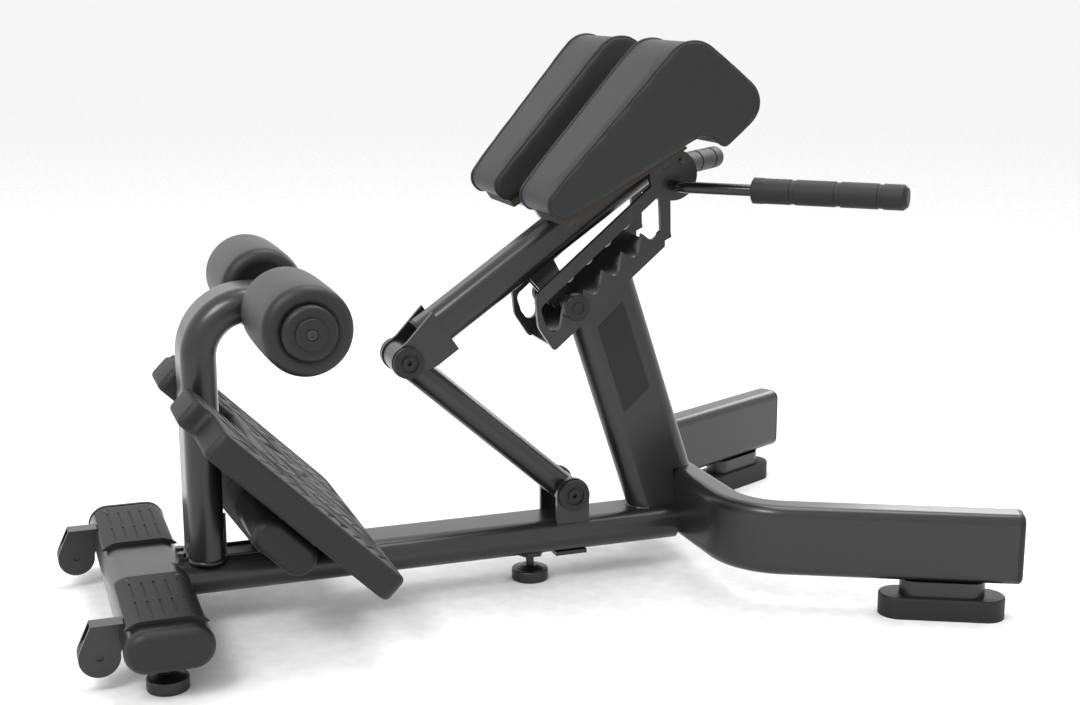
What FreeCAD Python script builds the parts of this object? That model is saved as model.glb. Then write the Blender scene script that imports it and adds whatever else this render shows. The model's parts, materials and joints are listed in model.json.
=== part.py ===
"""Roman chair: a 45 degree back-extension bench in welded flat-oval tube.

+X runs from the footplate end to the rear legs, +Y to the user's left, +Z up.
The floor is Z = 0 and the machine is symmetric about the XZ plane.
"""
import FreeCAD, Part
import math
import os
import re

import Sketcher

V = FreeCAD.Vector
doc = FreeCAD.newDocument("RomanChair")

# Driving dimensions, in millimetres and degrees.
SIZES = {
    # frame tube
    "tube_wide": 100, "tube_thin": 50, "tube_wall": 3, "axis_level": 75,
    # front crossbeam, its caps and step covers
    "beam_station": -548, "beam_wide": 114, "beam_thin": 56, "beam_level": 72, "beam_half": 265,
    "beam_cap": 18, "cover_inner": 70, "cover_outer": 250, "cover_thick": 3, "cover_drop": 23,
    "rib_width": 6, "rib_height": 3, "groove_width": 3, "groove_depth": 1.2, "groove_pitch": 16,
    "groove_length": 58, "screw_reach": 34, "screw_inset": 12, "screw_radius": 3.5,
    # transport wheels
    "wheel_station": -631, "wheel_level": 49, "wheel_radius": 27, "wheel_inner": 190.5,
    "wheel_width": 18, "wheel_axle": 5, "bracket_sheet": 3, "bracket_gap": 1.5, "bracket_top": 92,
    "bracket_round": 27, "bracket_front": 10,
    # levelling feet
    "foot_radius": 28, "foot_thick": 18, "foot_dome": 5, "stud_radius": 6, "stud_top": 78,
    "nut_across": 38, "nut_thick": 10, "insert_radius": 12, "insert_thick": 14,
    "front_foot_side": 225, "middle_foot_station": 30,
    # roller post, axle and rollers
    "post_station": -464, "post_bend": 72, "roller_station": -352, "roller_level": 463,
    "post_nose": 27, "axle_radius": 12.5, "axle_half": 247, "sleeve_radius": 16, "foam_radius": 61.5,
    "foam_inner": 74, "foam_outer": 246, "foam_round": 12, "collar_radius": 22,
    "end_cap_radius": 37, "end_cap_thick": 10, "end_cap_hub": 21, "hub_thick": 5,
    # footplate and its supports
    "plate_station": -465.4, "plate_level": 343.5, "plate_angle": 44.3, "plate_length": 331,
    "plate_half": 250, "plate_thick": 40, "mat_thick": 6, "plate_wall": 4, "plate_corner": 22,
    "tab_length": 28, "tab_half": 150, "notch_gap": 8, "notch_depth": 81, "plate_beam_along": 195,
    "plate_beam_below": 75, "plate_beam_half": 165, "gusset_inner": 19, "gusset_thick": 6,
    "gusset_heel": 172, "gusset_toe": -390, "gusset_far": 296, "spacer_radius": 11,
    "spacer_half": 30, "spacer_gap": 2.7, "spacer_rise": 6.9,
    # upright column and badge panels
    "column_foot": 254, "column_lean": 18.4, "column_wide": 116, "panel_thick": 0.8, "panel_low": 175,
    "panel_high": 318, "panel_wide": 50,
    # rack with its six notches
    "rack_along": 197.92, "rack_below": 99.06, "rack_steeper": 5.1, "rack_inner": 50, "rack_sheet": 8,
    "notch_pitch": 40, "tooth_height": 22.5, "tooth_back": 7, "seat_run": 6, "seat_rise": 12.8,
    "slot_height": 47, "bar_height": 66, "rack_sole": 18, "channel_sheet": 6,
    "disc_along": 285.46, "disc_above": 55.5, "disc_radius": 38,
    # handles
    "handle_drop": 15, "handle_radius": 8.5, "handle_lateral": 16, "handle_bend": 24,
    "handle_swing": 47.7, "handle_length": 316, "grip_start": 97, "grip_length": 222, "grip_radius": 18.3,
    # rear legs and feet
    "leg_station": 283, "leg_wide": 50, "leg_high": 105, "leg_round": 15, "leg_level": 107.5,
    "leg_straight": 150, "leg_bend": 100, "leg_turn": 63.4, "leg_length": 331, "leg_cap": 9,
    "rear_foot_along": 230, "rubber_long": 181, "rubber_wide": 60, "rubber_thick": 32,
    "spacer_long": 122, "spacer_wide": 44,
    # link and its lower pivot
    "pivot_station": 86, "pivot_level": 140, "pivot_radius": 10, "cheek_inner": 33,
    "cheek_sheet": 7, "cheek_round": 26, "pivot_cap": 24, "pivot_cap_thick": 7, "clamp_thick": 6,
    "link_thin": 42, "link_wide": 52, "hub_radius": 22, "bush_radius": 12.2, "joint_gap": 0.4,
    # pad arm and elbow
    "elbow_station": -167, "elbow_level": 364, "arm_angle": 34.9, "arm_high": 55, "arm_wide": 52,
    "arm_round": 18, "arm_rise": 6, "arm_start": 46, "arm_end": 450, "arm_plate": 6, "plug_thick": 5,
    "elbow_cap": 23, "elbow_cap_thick": 9,
    # pin that rests in the rack
    "pin_radius": 10, "pin_play": 0.4, "pin_cap": 19.7, "pin_cap_thick": 16, "hanger_round": 17,
    "hanger_inner": 10,
    # hip pads
    "pad_inner": 50, "pad_narrow": 180, "pad_broad": 217, "board_thick": 12, "board_inset": 8,
    "cross_plate_thick": 8, "cross_plate_wide": 40, "cross_plate_half": 160,
}

# Places and widths that follow from the sizes above, each after those it reads.
SPACER = ("(plate_beam_along - tube_wide/2 - spacer_radius - spacer_gap)", "(plate_beam_below - spacer_rise)")
DERIVED = {
    "notch_half": "=tube_wide/2 + notch_gap",
    "spacer_station": "=plate_station + %s*cos(plate_angle) - %s*sin(plate_angle)" % SPACER,
    "spacer_level": "=plate_level - %s*sin(plate_angle) - %s*cos(plate_angle)" % SPACER,
    "rack_angle": "=arm_angle + rack_steeper",
    "rack_station": "=elbow_station + rack_along*cos(arm_angle) + rack_below*sin(arm_angle)",
    "rack_level": "=elbow_level + rack_along*sin(arm_angle) - rack_below*cos(arm_angle)",
    "disc_station": "=rack_station + disc_along*cos(rack_angle) - disc_above*sin(rack_angle)",
    "disc_level": "=rack_level + disc_along*sin(rack_angle) + disc_above*cos(rack_angle)",
    "handle_level": "=disc_level - handle_drop",
}

sheet = doc.addObject("Spreadsheet::Sheet", "Sizes")
for line, (alias, amount) in enumerate({**SIZES, **DERIVED}.items(), start=1):
    sheet.set("A%d" % line, alias)
    sheet.set("B%d" % line, str(amount))
    sheet.setAlias("B%d" % line, alias)
doc.recompute()

NODES = {}
SHARED = {}


# ---------------------------------------------------------------- helpers

def ex(text):
    """Turn plain size names into expressions that read the spreadsheet."""
    return re.sub(r"[a-z]+(?:_[a-z]+)+", lambda word: "Sizes." + word.group(0), str(text))


def num(text):
    """Value of an expression at the present sizes."""
    return float(sheet.evalExpression(ex(text)))


def keep(label, thing):
    """Name a finished piece and list it for export."""
    thing.Label = label
    NODES[label] = thing
    return thing


def gather(label, thing):
    """Collect like pieces that share one node as separate solids."""
    SHARED.setdefault(label, []).append(thing)


def place(thing, x="0", y="0", z="0", tilt=None, turn=None):
    """Bind a position; tilt raises the +X end, turn swings it towards +Y."""
    axis, angle = (V(0, -1, 0), tilt) if turn is None else (V(0, 0, 1), turn)
    if angle is not None:
        if num(angle) < 0:
            axis, angle = axis * -1, "-(%s)" % angle
        thing.Placement = FreeCAD.Placement(V(0, 0, 0), FreeCAD.Rotation(axis, num(angle)))
        thing.setExpression("Placement.Rotation.Angle", ex(angle))
    for letter, text in zip("xyz", (x, y, z)):
        thing.setExpression("Placement.Base." + letter, ex(text))
    return thing


def new_body(name):
    return doc.addObject("PartDesign::Body", name)


def new_sketch(body, role):
    """Empty sketch on one of a body's own origin planes."""
    sketch = body.newObject("Sketcher::SketchObject", body.Name + "_sketch")
    plane = [feature for feature in body.Origin.OriginFeatures if feature.Role == role][0]
    sketch.AttachmentSupport = [(plane, "")]
    sketch.MapMode = "FlatFace"
    return sketch


def bind(sketch, kind, text, *where):
    """Add a dimension that follows an expression."""
    index = sketch.addConstraint(Sketcher.Constraint(kind, *where, num(text)))
    sketch.setExpression("Constraints[%d]" % index, ex(text))


def draw_polygon(sketch, points):
    corners = [V(num(a), num(b), 0) for a, b in points]
    first = sketch.GeometryCount
    count = len(corners)
    for i in range(count):
        sketch.addGeometry(Part.LineSegment(corners[i], corners[(i + 1) % count]), False)
    for i, (a, b) in enumerate(points):
        sketch.addConstraint(Sketcher.Constraint("Coincident", first + i, 2, first + (i + 1) % count, 1))
        bind(sketch, "DistanceX", a, -1, 1, first + i, 1)
        bind(sketch, "DistanceY", b, -1, 1, first + i, 1)


def draw_circle(sketch, radius, x="0", y="0"):
    index = sketch.addGeometry(Part.Circle(V(num(x), num(y), 0), V(0, 0, 1), num(radius)), False)
    bind(sketch, "Radius", radius, index)
    bind(sketch, "DistanceX", x, -1, 1, index, 3)
    bind(sketch, "DistanceY", y, -1, 1, index, 3)


def draw_oval(sketch, start, end, radius):
    """Flat oval round two centres."""
    a, b = (V(num(x), num(y), 0) for x, y in (start, end))
    along = (b - a).normalize()
    side = V(along.y, -along.x, 0) * num(radius)
    angle = math.atan2(side.y, side.x)
    first = sketch.GeometryCount
    sketch.addGeometry(Part.LineSegment(a + side, b + side), False)
    sketch.addGeometry(Part.ArcOfCircle(Part.Circle(b, V(0, 0, 1), num(radius)),
                                        angle, angle + math.pi), False)
    sketch.addGeometry(Part.LineSegment(b - side, a - side), False)
    sketch.addGeometry(Part.ArcOfCircle(Part.Circle(a, V(0, 0, 1), num(radius)),
                                        angle + math.pi, angle + 2 * math.pi), False)
    for i in range(4):
        sketch.addConstraint(Sketcher.Constraint("Tangent", first + i, 2, first + (i + 1) % 4, 1))
    sketch.addConstraint(Sketcher.Constraint("Equal", first + 1, first + 3))
    bind(sketch, "Radius", radius, first + 1)
    for index, (x, y) in ((first + 1, end), (first + 3, start)):
        bind(sketch, "DistanceX", x, -1, 1, index, 3)
        bind(sketch, "DistanceY", y, -1, 1, index, 3)


def oval_loops(sketch, wide, thin, wall=None, upright=False):
    """Flat-oval section about the origin, hollow when it has a wall."""
    for inset in ([None] if wall is None else [None, wall]):
        radius = "(%s)/2" % thin if inset is None else "(%s)/2 - (%s)" % (thin, inset)
        reach = "((%s) - (%s))/2" % (wide, thin)
        ends = (("0", "-" + reach), ("0", reach)) if upright else (("-" + reach, "0"), (reach, "0"))
        draw_oval(sketch, ends[0], ends[1], radius)


def draw_rounded_box(sketch, wide, high, round_radius, inset="0"):
    """Rectangle about the origin with four tangent corner arcs."""
    half_x = num("(%s)/2 - (%s)" % (wide, inset))
    half_y = num("(%s)/2 - (%s)" % (high, inset))
    radius_text = "(%s) - (%s)" % (round_radius, inset)
    r = num(radius_text)
    first = sketch.GeometryCount
    signs = ((1, 1), (-1, 1), (-1, -1), (1, -1))
    for i, (sx, sy) in enumerate(signs):
        centre = V(sx * (half_x - r), sy * (half_y - r), 0)
        start = i * math.pi / 2
        corner = Part.Circle(centre, V(0, 0, 1), r)
        sketch.addGeometry(Part.ArcOfCircle(corner, start, start + math.pi / 2), False)
        nx, ny = signs[(i + 1) % 4]
        after = V(nx * (half_x - r), ny * (half_y - r), 0)
        out = V(math.cos(start + math.pi / 2), math.sin(start + math.pi / 2), 0) * r
        sketch.addGeometry(Part.LineSegment(centre + out, after + out), False)
    for i in range(8):
        sketch.addConstraint(Sketcher.Constraint("Tangent", first + i, 2, first + (i + 1) % 8, 1))
    for i in (1, 5):
        sketch.addConstraint(Sketcher.Constraint("Horizontal", first + i))
        sketch.addConstraint(Sketcher.Constraint("Vertical", first + i + 2))
    for i in (2, 4, 6):
        sketch.addConstraint(Sketcher.Constraint("Equal", first, first + i))
    bind(sketch, "Radius", radius_text, first)
    for index, sign in ((first, ""), (first + 4, "-")):
        bind(sketch, "DistanceX", "%s((%s)/2 - (%s))" % (sign, wide, round_radius), -1, 1, index, 3)
        bind(sketch, "DistanceY", "%s((%s)/2 - (%s))" % (sign, high, round_radius), -1, 1, index, 3)


def extrude(body, sketch, length, cut=False, reverse=False):
    kind = "PartDesign::Pocket" if cut else "PartDesign::Pad"
    feature = body.newObject(kind, body.Name + ("_pocket" if cut else "_pad"))
    feature.Profile = sketch
    feature.setExpression("Length", ex(length))
    feature.Reversed = reverse
    doc.recompute()
    return feature


def prism(name, role, draw, length):
    """Body whose outline, drawn by a function, is padded along the plane's normal."""
    body = new_body(name)
    sketch = new_sketch(body, role)
    draw(sketch)
    extrude(body, sketch, length)
    return body


def round_edges(body, radius, wanted):
    """Fillet the edges of a body's tip that a test picks."""
    doc.recompute()
    names = ["Edge%d" % (i + 1) for i, edge in enumerate(body.Tip.Shape.Edges) if wanted(edge)]
    fillet = body.newObject("PartDesign::Fillet", body.Name + "_fillet")
    fillet.Base = (body.Tip if body.Tip is not fillet else fillet.BaseFeature, names)
    fillet.setExpression("Radius", ex(radius))
    doc.recompute()
    return fillet


def at_point(x, y, axis):
    """Test for an edge that runs along an axis through one corner of an outline."""
    def test(edge):
        ends = [vertex.Point for vertex in edge.Vertexes]
        if len(ends) < 2:
            return False
        flat = [(p.x, p.z) if axis == "y" else (p.x, p.y) for p in ends]
        return all(abs(a - num(x)) < 0.01 and abs(b - num(y)) < 0.01 for a, b in flat)
    return test


def on_plane(letter, value):
    """Test for an edge that lies in a plane across one axis."""
    def test(edge):
        box = edge.BoundBox
        low, high = getattr(box, letter.upper() + "Min"), getattr(box, letter.upper() + "Max")
        return abs(low - num(value)) < 0.01 and abs(high - num(value)) < 0.01
    return test


def corner_rounds(body, corners, axis):
    for x, y, radius in corners:
        round_edges(body, radius, at_point(x, y, axis))


def lateral(name, radius, inner, outer, x="0", z="0"):
    """Round bar along Y between two lateral stations."""
    bar = doc.addObject("Part::Cylinder", name)
    bar.setExpression("Radius", ex(radius))
    bar.setExpression("Height", ex("(%s) - (%s)" % (outer, inner)))
    bar.Placement = FreeCAD.Placement(V(0, 0, 0), FreeCAD.Rotation(V(1, 0, 0), -90))
    for letter, text in zip("xyz", (x, inner, z)):
        bar.setExpression("Placement.Base." + letter, ex(text))
    return bar


def vertical(name, radius, low, high, x="0", y="0"):
    bar = doc.addObject("Part::Cylinder", name)
    bar.setExpression("Radius", ex(radius))
    bar.setExpression("Height", ex("(%s) - (%s)" % (high, low)))
    return place(bar, x, y, low)


def box(name, low, high):
    """Box between two corners given as expressions."""
    block = doc.addObject("Part::Box", name)
    for side, a, b in zip(("Length", "Width", "Height"), low, high):
        block.setExpression(side, ex("(%s) - (%s)" % (b, a)))
    return place(block, *low)


def cut(name, base, *tools):
    tool = tools[0] if len(tools) == 1 else fuse(name + "_tools", *tools)
    feature = doc.addObject("Part::Cut", name)
    feature.Base, feature.Tool = base, tool
    return feature


def fuse(name, *shapes):
    feature = doc.addObject("Part::MultiFuse", name)
    feature.Shapes = list(shapes)
    feature.Refine = True
    return feature


def common(name, first, second):
    feature = doc.addObject("Part::MultiCommon", name)
    feature.Shapes = [first, second]
    return feature


def group(name, *shapes):
    feature = doc.addObject("Part::Compound", name)
    feature.Links = list(shapes)
    return feature


def tube_y(name, outer, inner, start, end, x="0", z="0"):
    """Ring or sleeve along Y."""
    return cut(name, lateral(name + "_outer", outer, start, end, x, z),
               lateral(name + "_bore", inner, "(%s) - 1" % start, "(%s) + 1" % end, x, z))


SIDES = (("left", "+"), ("right", "-"))


def span(sign, inner, outer):
    """Low and high Y of a piece on one side of the machine."""
    if sign == "+":
        return inner, outer
    return "-(%s)" % outer, "-(%s)" % inner


def rack_point(along, above):
    """World X and Z of a point measured along and square to the rack."""
    x = "rack_station + (%s)*cos(rack_angle) - (%s)*sin(rack_angle)" % (along, above)
    z = "rack_level + (%s)*sin(rack_angle) + (%s)*cos(rack_angle)" % (along, above)
    return x, z


def plate_point(along, above):
    """World X and Z of a point measured down and square to the footplate."""
    x = "plate_station + (%s)*cos(plate_angle) + (%s)*sin(plate_angle)" % (along, above)
    z = "plate_level - (%s)*sin(plate_angle) + (%s)*cos(plate_angle)" % (along, above)
    return x, z


PIN_X, PIN_Z = rack_point("notch_pitch + seat_run", "seat_rise")
RAIL_SKIN = "axis_level + tube_thin/2"


def arm_local(x, z):
    """Place of a world point along and square to the pad arm, from the elbow."""
    dx, dz = "((%s) - elbow_station)" % x, "((%s) - elbow_level)" % z
    return ("%s*cos(arm_angle) + %s*sin(arm_angle)" % (dx, dz),
            "-%s*sin(arm_angle) + %s*cos(arm_angle)" % (dx, dz))


# ---------------------------------------------------------------- front crossbeam and base rail

def beam_envelope(name, extra="0", reach="beam_half"):
    """Solid flat oval that follows the crossbeam's outside."""
    body = prism(name, "XZ_Plane",
                 lambda sketch: oval_loops(sketch, "beam_wide + 2*(%s)" % extra,
                                           "beam_thin + 2*(%s)" % extra), "2*(%s)" % reach)
    return place(body, "beam_station", reach, "beam_level")


def build_base():
    beam = prism("crossbeam_tube", "XZ_Plane",
                 lambda sketch: oval_loops(sketch, "beam_wide", "beam_thin", "tube_wall"), "2*beam_half")
    place(beam, "beam_station", "beam_half", "beam_level")
    holes = [vertical("crossbeam_hole_" + side, "insert_radius", "beam_level - beam_thin",
                      "beam_level", "beam_station", sign + "front_foot_side") for side, sign in SIDES]
    keep("front_crossbeam", cut("front_crossbeam", beam, *holes))
    rail = prism("rail_tube", "YZ_Plane",
                 lambda sketch: oval_loops(sketch, "tube_wide", "tube_thin", "tube_wall"),
                 "leg_station - leg_wide/2 - beam_station")
    place(rail, "beam_station", "0", "axis_level")
    hole = vertical("rail_hole", "insert_radius", "axis_level - tube_thin", "axis_level",
                    "middle_foot_station")
    keep("base_rail", cut("base_rail", rail, beam_envelope("rail_cope"), hole))
    for side, sign in SIDES:
        low, high = span(sign, "beam_half", "beam_half + beam_cap")
        cap = prism("cap_body_" + side, "XZ_Plane",
                    lambda sketch: oval_loops(sketch, "beam_wide + 2", "beam_thin + 2"), "beam_cap")
        place(cap, "beam_station", high, "beam_level")
        round_edges(cap, "beam_cap - 4", on_plane("y", "0" if sign == "+" else "-beam_cap"))
        gather("crossbeam_caps", cap)
    joint = box("joint_plate", ("beam_station + beam_wide/2 - 12", "-22", RAIL_SKIN),
                ("post_station - tube_thin/2", "22", RAIL_SKIN + " + 4"))
    gather("rail_joint", joint)
    for y in ("-13", "13"):
        gather("rail_joint", vertical("joint_bolt", "6", RAIL_SKIN + " + 4", RAIL_SKIN + " + 9",
                                      "post_station - tube_thin/2 - 9", y))


def cover_shell(name, thick, low, high):
    """Part of a thin oval shell that hugs the top of the crossbeam."""
    outer = prism(name + "_outer", "XZ_Plane",
                  lambda sketch: oval_loops(sketch, "beam_wide + 2*(%s)" % thick,
                                            "beam_thin + 2*(%s)" % thick), "(%s) - (%s)" % (high, low))
    place(outer, "beam_station", high, "beam_level")
    inner = beam_envelope(name + "_inner", "0.2", "beam_half + 40")
    shell = cut(name + "_shell", outer, inner)
    upper = box(name + "_upper", ("beam_station - beam_wide", "-beam_half - 50", "beam_level + cover_drop"),
                ("beam_station + beam_wide", "beam_half + 50", "axis_level + tube_wide"))
    return common(name, shell, upper)


def build_step_covers():
    """Ribbed treads with a raised lip along the right-hand end of each."""
    for side, sign in SIDES:
        low, high = span(sign, "cover_inner", "cover_outer")
        shell = cover_shell("tread_" + side, "cover_thick", low, high)
        rib = cover_shell("tread_rib_" + side, "cover_thick + rib_height", low, "(%s) + rib_width" % low)
        body = fuse("tread_body_" + side, shell, rib)
        top = "beam_level + beam_thin/2 + cover_thick"
        cuts = []
        for row in (0, 1):
            start = "(%s) + 22 + %d*(groove_length + 14)" % (low, row)
            for i in range(5):
                x = "beam_station + (%d)*groove_pitch" % (i - 2)
                cuts.append(box("groove_%s_%d_%d" % (side, row, i),
                                (x + " - groove_width/2", start, top + " - groove_depth"),
                                (x + " + groove_width/2", "(%s) + groove_length" % start, top + " + 2")))
        for end in ("(%s) + screw_inset" % low, "(%s) - screw_inset" % high):
            for reach in ("-screw_reach", "+screw_reach"):
                x = "beam_station " + reach
                cuts.append(vertical("dimple", "screw_radius + 0.6", top + " - 1.6", top + " + 2", x, end))
                gather("step_cover_screws", vertical("tread_screw", "screw_radius", top + " - 1.6",
                                                     top + " - 0.4", x, end))
        gather("step_covers", cut("step_cover_" + side, body, *cuts))


# ---------------------------------------------------------------- transport wheels

def build_wheels():
    edge = "beam_station - beam_wide/2 + 6"
    outline = [("wheel_station - bracket_round*0.94", "wheel_level + bracket_round*0.34"),
               ("wheel_station + bracket_round*0.7", "wheel_level - bracket_round*0.71"),
               (edge, "beam_level - 5"), (edge, "bracket_top"),
               ("wheel_station - bracket_front", "bracket_top")]
    for side, sign in SIDES:
        walls = []
        inner_wall = ("wheel_inner - bracket_gap - bracket_sheet", "wheel_inner - bracket_gap")
        outer_wall = ("wheel_inner + wheel_width + bracket_gap",
                      "wheel_inner + wheel_width + bracket_gap + bracket_sheet")
        for number, (inner, outer) in enumerate((inner_wall, outer_wall)):
            low, high = span(sign, inner, outer)
            sheet_body = prism("wheel_wall_%s_%d" % (side, number), "XZ_Plane",
                               lambda sketch: draw_polygon(sketch, outline), "bracket_sheet")
            place(sheet_body, "0", high, "0")
            disc = lateral("wheel_disc_%s_%d" % (side, number), "bracket_round", low, high,
                           "wheel_station", "wheel_level")
            walls += [sheet_body, disc]
        low, high = span(sign, inner_wall[0], outer_wall[1])
        roof = box("wheel_roof_" + side, ("wheel_station - bracket_front", low,
                                          "bracket_top - bracket_sheet"), (edge, high, "bracket_top"))
        whole = fuse("wheel_bracket_body_" + side, roof, *walls)
        bore = lateral("wheel_bracket_bore_" + side, "wheel_axle", low, high, "wheel_station", "wheel_level")
        envelope = beam_envelope("bracket_cope_" + side)
        gather("wheel_brackets", cut("wheel_bracket_" + side, whole, envelope, bore))
        pin = lateral("axle_bar_" + side, "wheel_axle", "(%s) + 2.4" % low, "(%s) - 2.4" % high,
                      "wheel_station", "wheel_level")
        gather("wheel_axles", pin)
        wheel_low, wheel_high = span(sign, "wheel_inner", "wheel_inner + wheel_width")
        wheel = prism("wheel_body_" + side, "XZ_Plane", lambda sketch: (
            draw_circle(sketch, "wheel_radius"),
            draw_circle(sketch, "wheel_axle + joint_gap")), "wheel_width")
        place(wheel, "wheel_station", wheel_high, "wheel_level")
        big = num("wheel_radius")
        round_edges(wheel, "3", lambda edge: abs(edge.BoundBox.XMax - big) < 0.01)
        keep("transport_wheel_" + side, wheel)


# ---------------------------------------------------------------- levelling feet

def build_feet():
    below_beam, below_rail = "beam_level - beam_thin/2", "axis_level - tube_thin/2"
    spots = [("front_left", "beam_station", "front_foot_side", below_beam),
             ("front_right", "beam_station", "-front_foot_side", below_beam),
             ("middle", "middle_foot_station", "0", below_rail)]
    for name, x, y, underside in spots:
        sole = prism("foot_sole_" + name, "XY_Plane",
                     lambda sketch: draw_circle(sketch, "foot_radius"), "foot_thick")
        place(sole, x, y, "0")
        round_edges(sole, "2.5", lambda edge: True)
        dome = doc.addObject("Part::Cone", "foot_dome_" + name)
        dome.setExpression("Radius1", ex("foot_radius - 4"))
        dome.setExpression("Radius2", ex("stud_radius + 5"))
        dome.setExpression("Height", ex("foot_dome"))
        place(dome, x, y, "foot_thick")
        stud = vertical("foot_stud_" + name, "stud_radius", "foot_thick", "stud_top", x, y)
        keep("levelling_foot_" + name, fuse("levelling_foot_" + name, sole, dome, stud))
        nut = doc.addObject("Part::Prism", "nut_hex_" + name)
        nut.Polygon = 6
        nut.setExpression("Circumradius", ex("nut_across/2/cos(30)"))
        nut.setExpression("Height", ex("nut_thick"))
        place(nut, x, y, underside + " - nut_thick")
        bore = vertical("nut_bore_" + name, "stud_radius + joint_gap", "0", "stud_top + 5", x, y)
        gather("foot_nuts", cut("nut_" + name, nut, bore))
        collar = vertical("insert_collar_" + name, "insert_radius", underside,
                          underside + " + insert_thick", x, y)
        bore = vertical("insert_bore_" + name, "stud_radius + joint_gap", "0", "stud_top + 5", x, y)
        gather("foot_nuts", cut("insert_" + name, collar, bore))


# ---------------------------------------------------------------- roller post and foam rollers

def build_post():
    body = new_body("post_tube")
    path = new_sketch(body, "XZ_Plane")
    rise = num("roller_level - post_bend - axis_level - tube_thin/2")
    bend = num("post_bend")
    run = num("roller_station + post_nose - post_station - post_bend")
    path.addGeometry(Part.LineSegment(V(0, 0, 0), V(0, rise, 0)), False)
    quarter = Part.Circle(V(bend, rise, 0), V(0, 0, 1), bend)
    path.addGeometry(Part.ArcOfCircle(quarter, math.pi / 2, math.pi), False)
    path.addGeometry(Part.LineSegment(V(bend, rise + bend, 0), V(bend + run, rise + bend, 0)), False)
    path.addConstraint(Sketcher.Constraint("Coincident", 0, 1, -1, 1))
    path.addConstraint(Sketcher.Constraint("Vertical", 0))
    path.addConstraint(Sketcher.Constraint("Tangent", 0, 2, 1, 2))
    path.addConstraint(Sketcher.Constraint("Tangent", 1, 1, 2, 1))
    path.addConstraint(Sketcher.Constraint("Horizontal", 2))
    bind(path, "Radius", "post_bend", 1)
    bind(path, "DistanceY", "roller_level - axis_level - tube_thin/2", -1, 1, 2, 2)
    bind(path, "DistanceX", "roller_station + post_nose - post_station", -1, 1, 2, 2)
    section = new_sketch(body, "XY_Plane")
    oval_loops(section, "tube_wide", "tube_thin", "tube_wall", upright=True)
    doc.recompute()
    pipe = body.newObject("PartDesign::AdditivePipe", "post_pipe")
    pipe.Profile = section
    pipe.Spine = (path, ["Edge1", "Edge2", "Edge3"])
    place(body, "post_station", "0", RAIL_SKIN)
    doc.recompute()
    hole = lateral("post_hole", "axle_radius", "-tube_wide", "tube_wide", "roller_station", "roller_level")
    keep("roller_post", cut("roller_post", body, hole))
    cap = prism("post_cap_body", "YZ_Plane", lambda sketch: oval_loops(sketch, "tube_wide", "tube_thin"), "6")
    place(cap, "roller_station + post_nose", "0", "roller_level")
    round_edges(cap, "4.5", on_plane("x", "6"))
    keep("roller_post_cap", cap)
    keep("roller_axle", lateral("roller_axle", "axle_radius", "-axle_half", "axle_half",
                                "roller_station", "roller_level"))


def build_rollers():
    x, z = "roller_station", "roller_level"
    for side, sign in SIDES:
        low, high = span(sign, "foam_inner", "foam_outer")
        foam = prism("foam_body_" + side, "XZ_Plane", lambda sketch: (
            draw_circle(sketch, "foam_radius"),
            draw_circle(sketch, "sleeve_radius")), "foam_outer - foam_inner")
        place(foam, x, high, z)
        outer = num("foam_radius")
        round_edges(foam, "foam_round", lambda edge: abs(edge.BoundBox.XMax - outer) < 0.01
                    and len(edge.Vertexes) == 1)
        keep("foam_roller_" + side, foam)
        keep("roller_sleeve_" + side, tube_y("roller_sleeve_" + side, "sleeve_radius",
                                             "axle_radius + joint_gap", low, high, x, z))
        collar_low, collar_high = span(sign, "tube_wide/2", "foam_inner - 1.5")
        gather("roller_collars", tube_y("collar_" + side, "collar_radius", "axle_radius",
                                        collar_low, collar_high, x, z))
        dome = prism("end_cap_dome_" + side, "XZ_Plane", lambda sketch: draw_circle(sketch, "end_cap_radius"),
                     "end_cap_thick")
        dome_low, dome_high = span(sign, "axle_half", "axle_half + end_cap_thick")
        place(dome, x, dome_high, z)
        round_edges(dome, "end_cap_thick - 2", on_plane("y", "0" if sign == "+" else "-end_cap_thick"))
        outer_face = "axle_half + end_cap_thick"
        hub_low, hub_high = span(sign, outer_face, outer_face + " + hub_thick")
        hub = prism("end_cap_hub_" + side, "XZ_Plane",
                    lambda sketch: draw_circle(sketch, "end_cap_hub"), "hub_thick")
        place(hub, x, hub_high, z)
        round_edges(hub, "2", on_plane("y", "0" if sign == "+" else "-hub_thick"))
        whole = fuse("end_cap_whole_" + side, dome, hub)
        well_low, well_high = span(sign, outer_face + " + hub_thick - 3", outer_face + " + hub_thick + 1")
        well = lateral("end_cap_well_" + side, "8", well_low, well_high, x, z)
        gather("roller_end_caps", cut("roller_end_cap_" + side, whole, well))
        head_low, head_high = span(sign, outer_face + " + hub_thick - 3", outer_face + " + hub_thick - 0.5")
        socket_low, socket_high = span(sign, outer_face + " + hub_thick - 2", outer_face + " + hub_thick + 1")
        bolt = cut("end_bolt_" + side, lateral("end_bolt_head_" + side, "7", head_low, head_high, x, z),
                   lateral("end_bolt_socket_" + side, "3.2", socket_low, socket_high, x, z))
        gather("roller_end_bolts", bolt)


# ---------------------------------------------------------------- footplate

def plate_outline(inset):
    """Plan of the footplate: two stepped tabs a side and a notch for the post."""
    back, side = "-tab_length + (%s)" % inset, "plate_half - (%s)" % inset
    tab, notch = "tab_half - (%s)" % inset, "notch_half + (%s)" % inset
    far, deep, step = "plate_length - (%s)" % inset, "notch_depth + (%s)" % inset, inset
    right = [(back, tab), (back, notch), (deep, notch)]
    half = [(step, tab), (step, side), (far, side)]
    points = list(reversed(half)) + right
    mirrored = [(x, "-(%s)" % y) for x, y in reversed(points)]
    return points + mirrored


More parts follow.
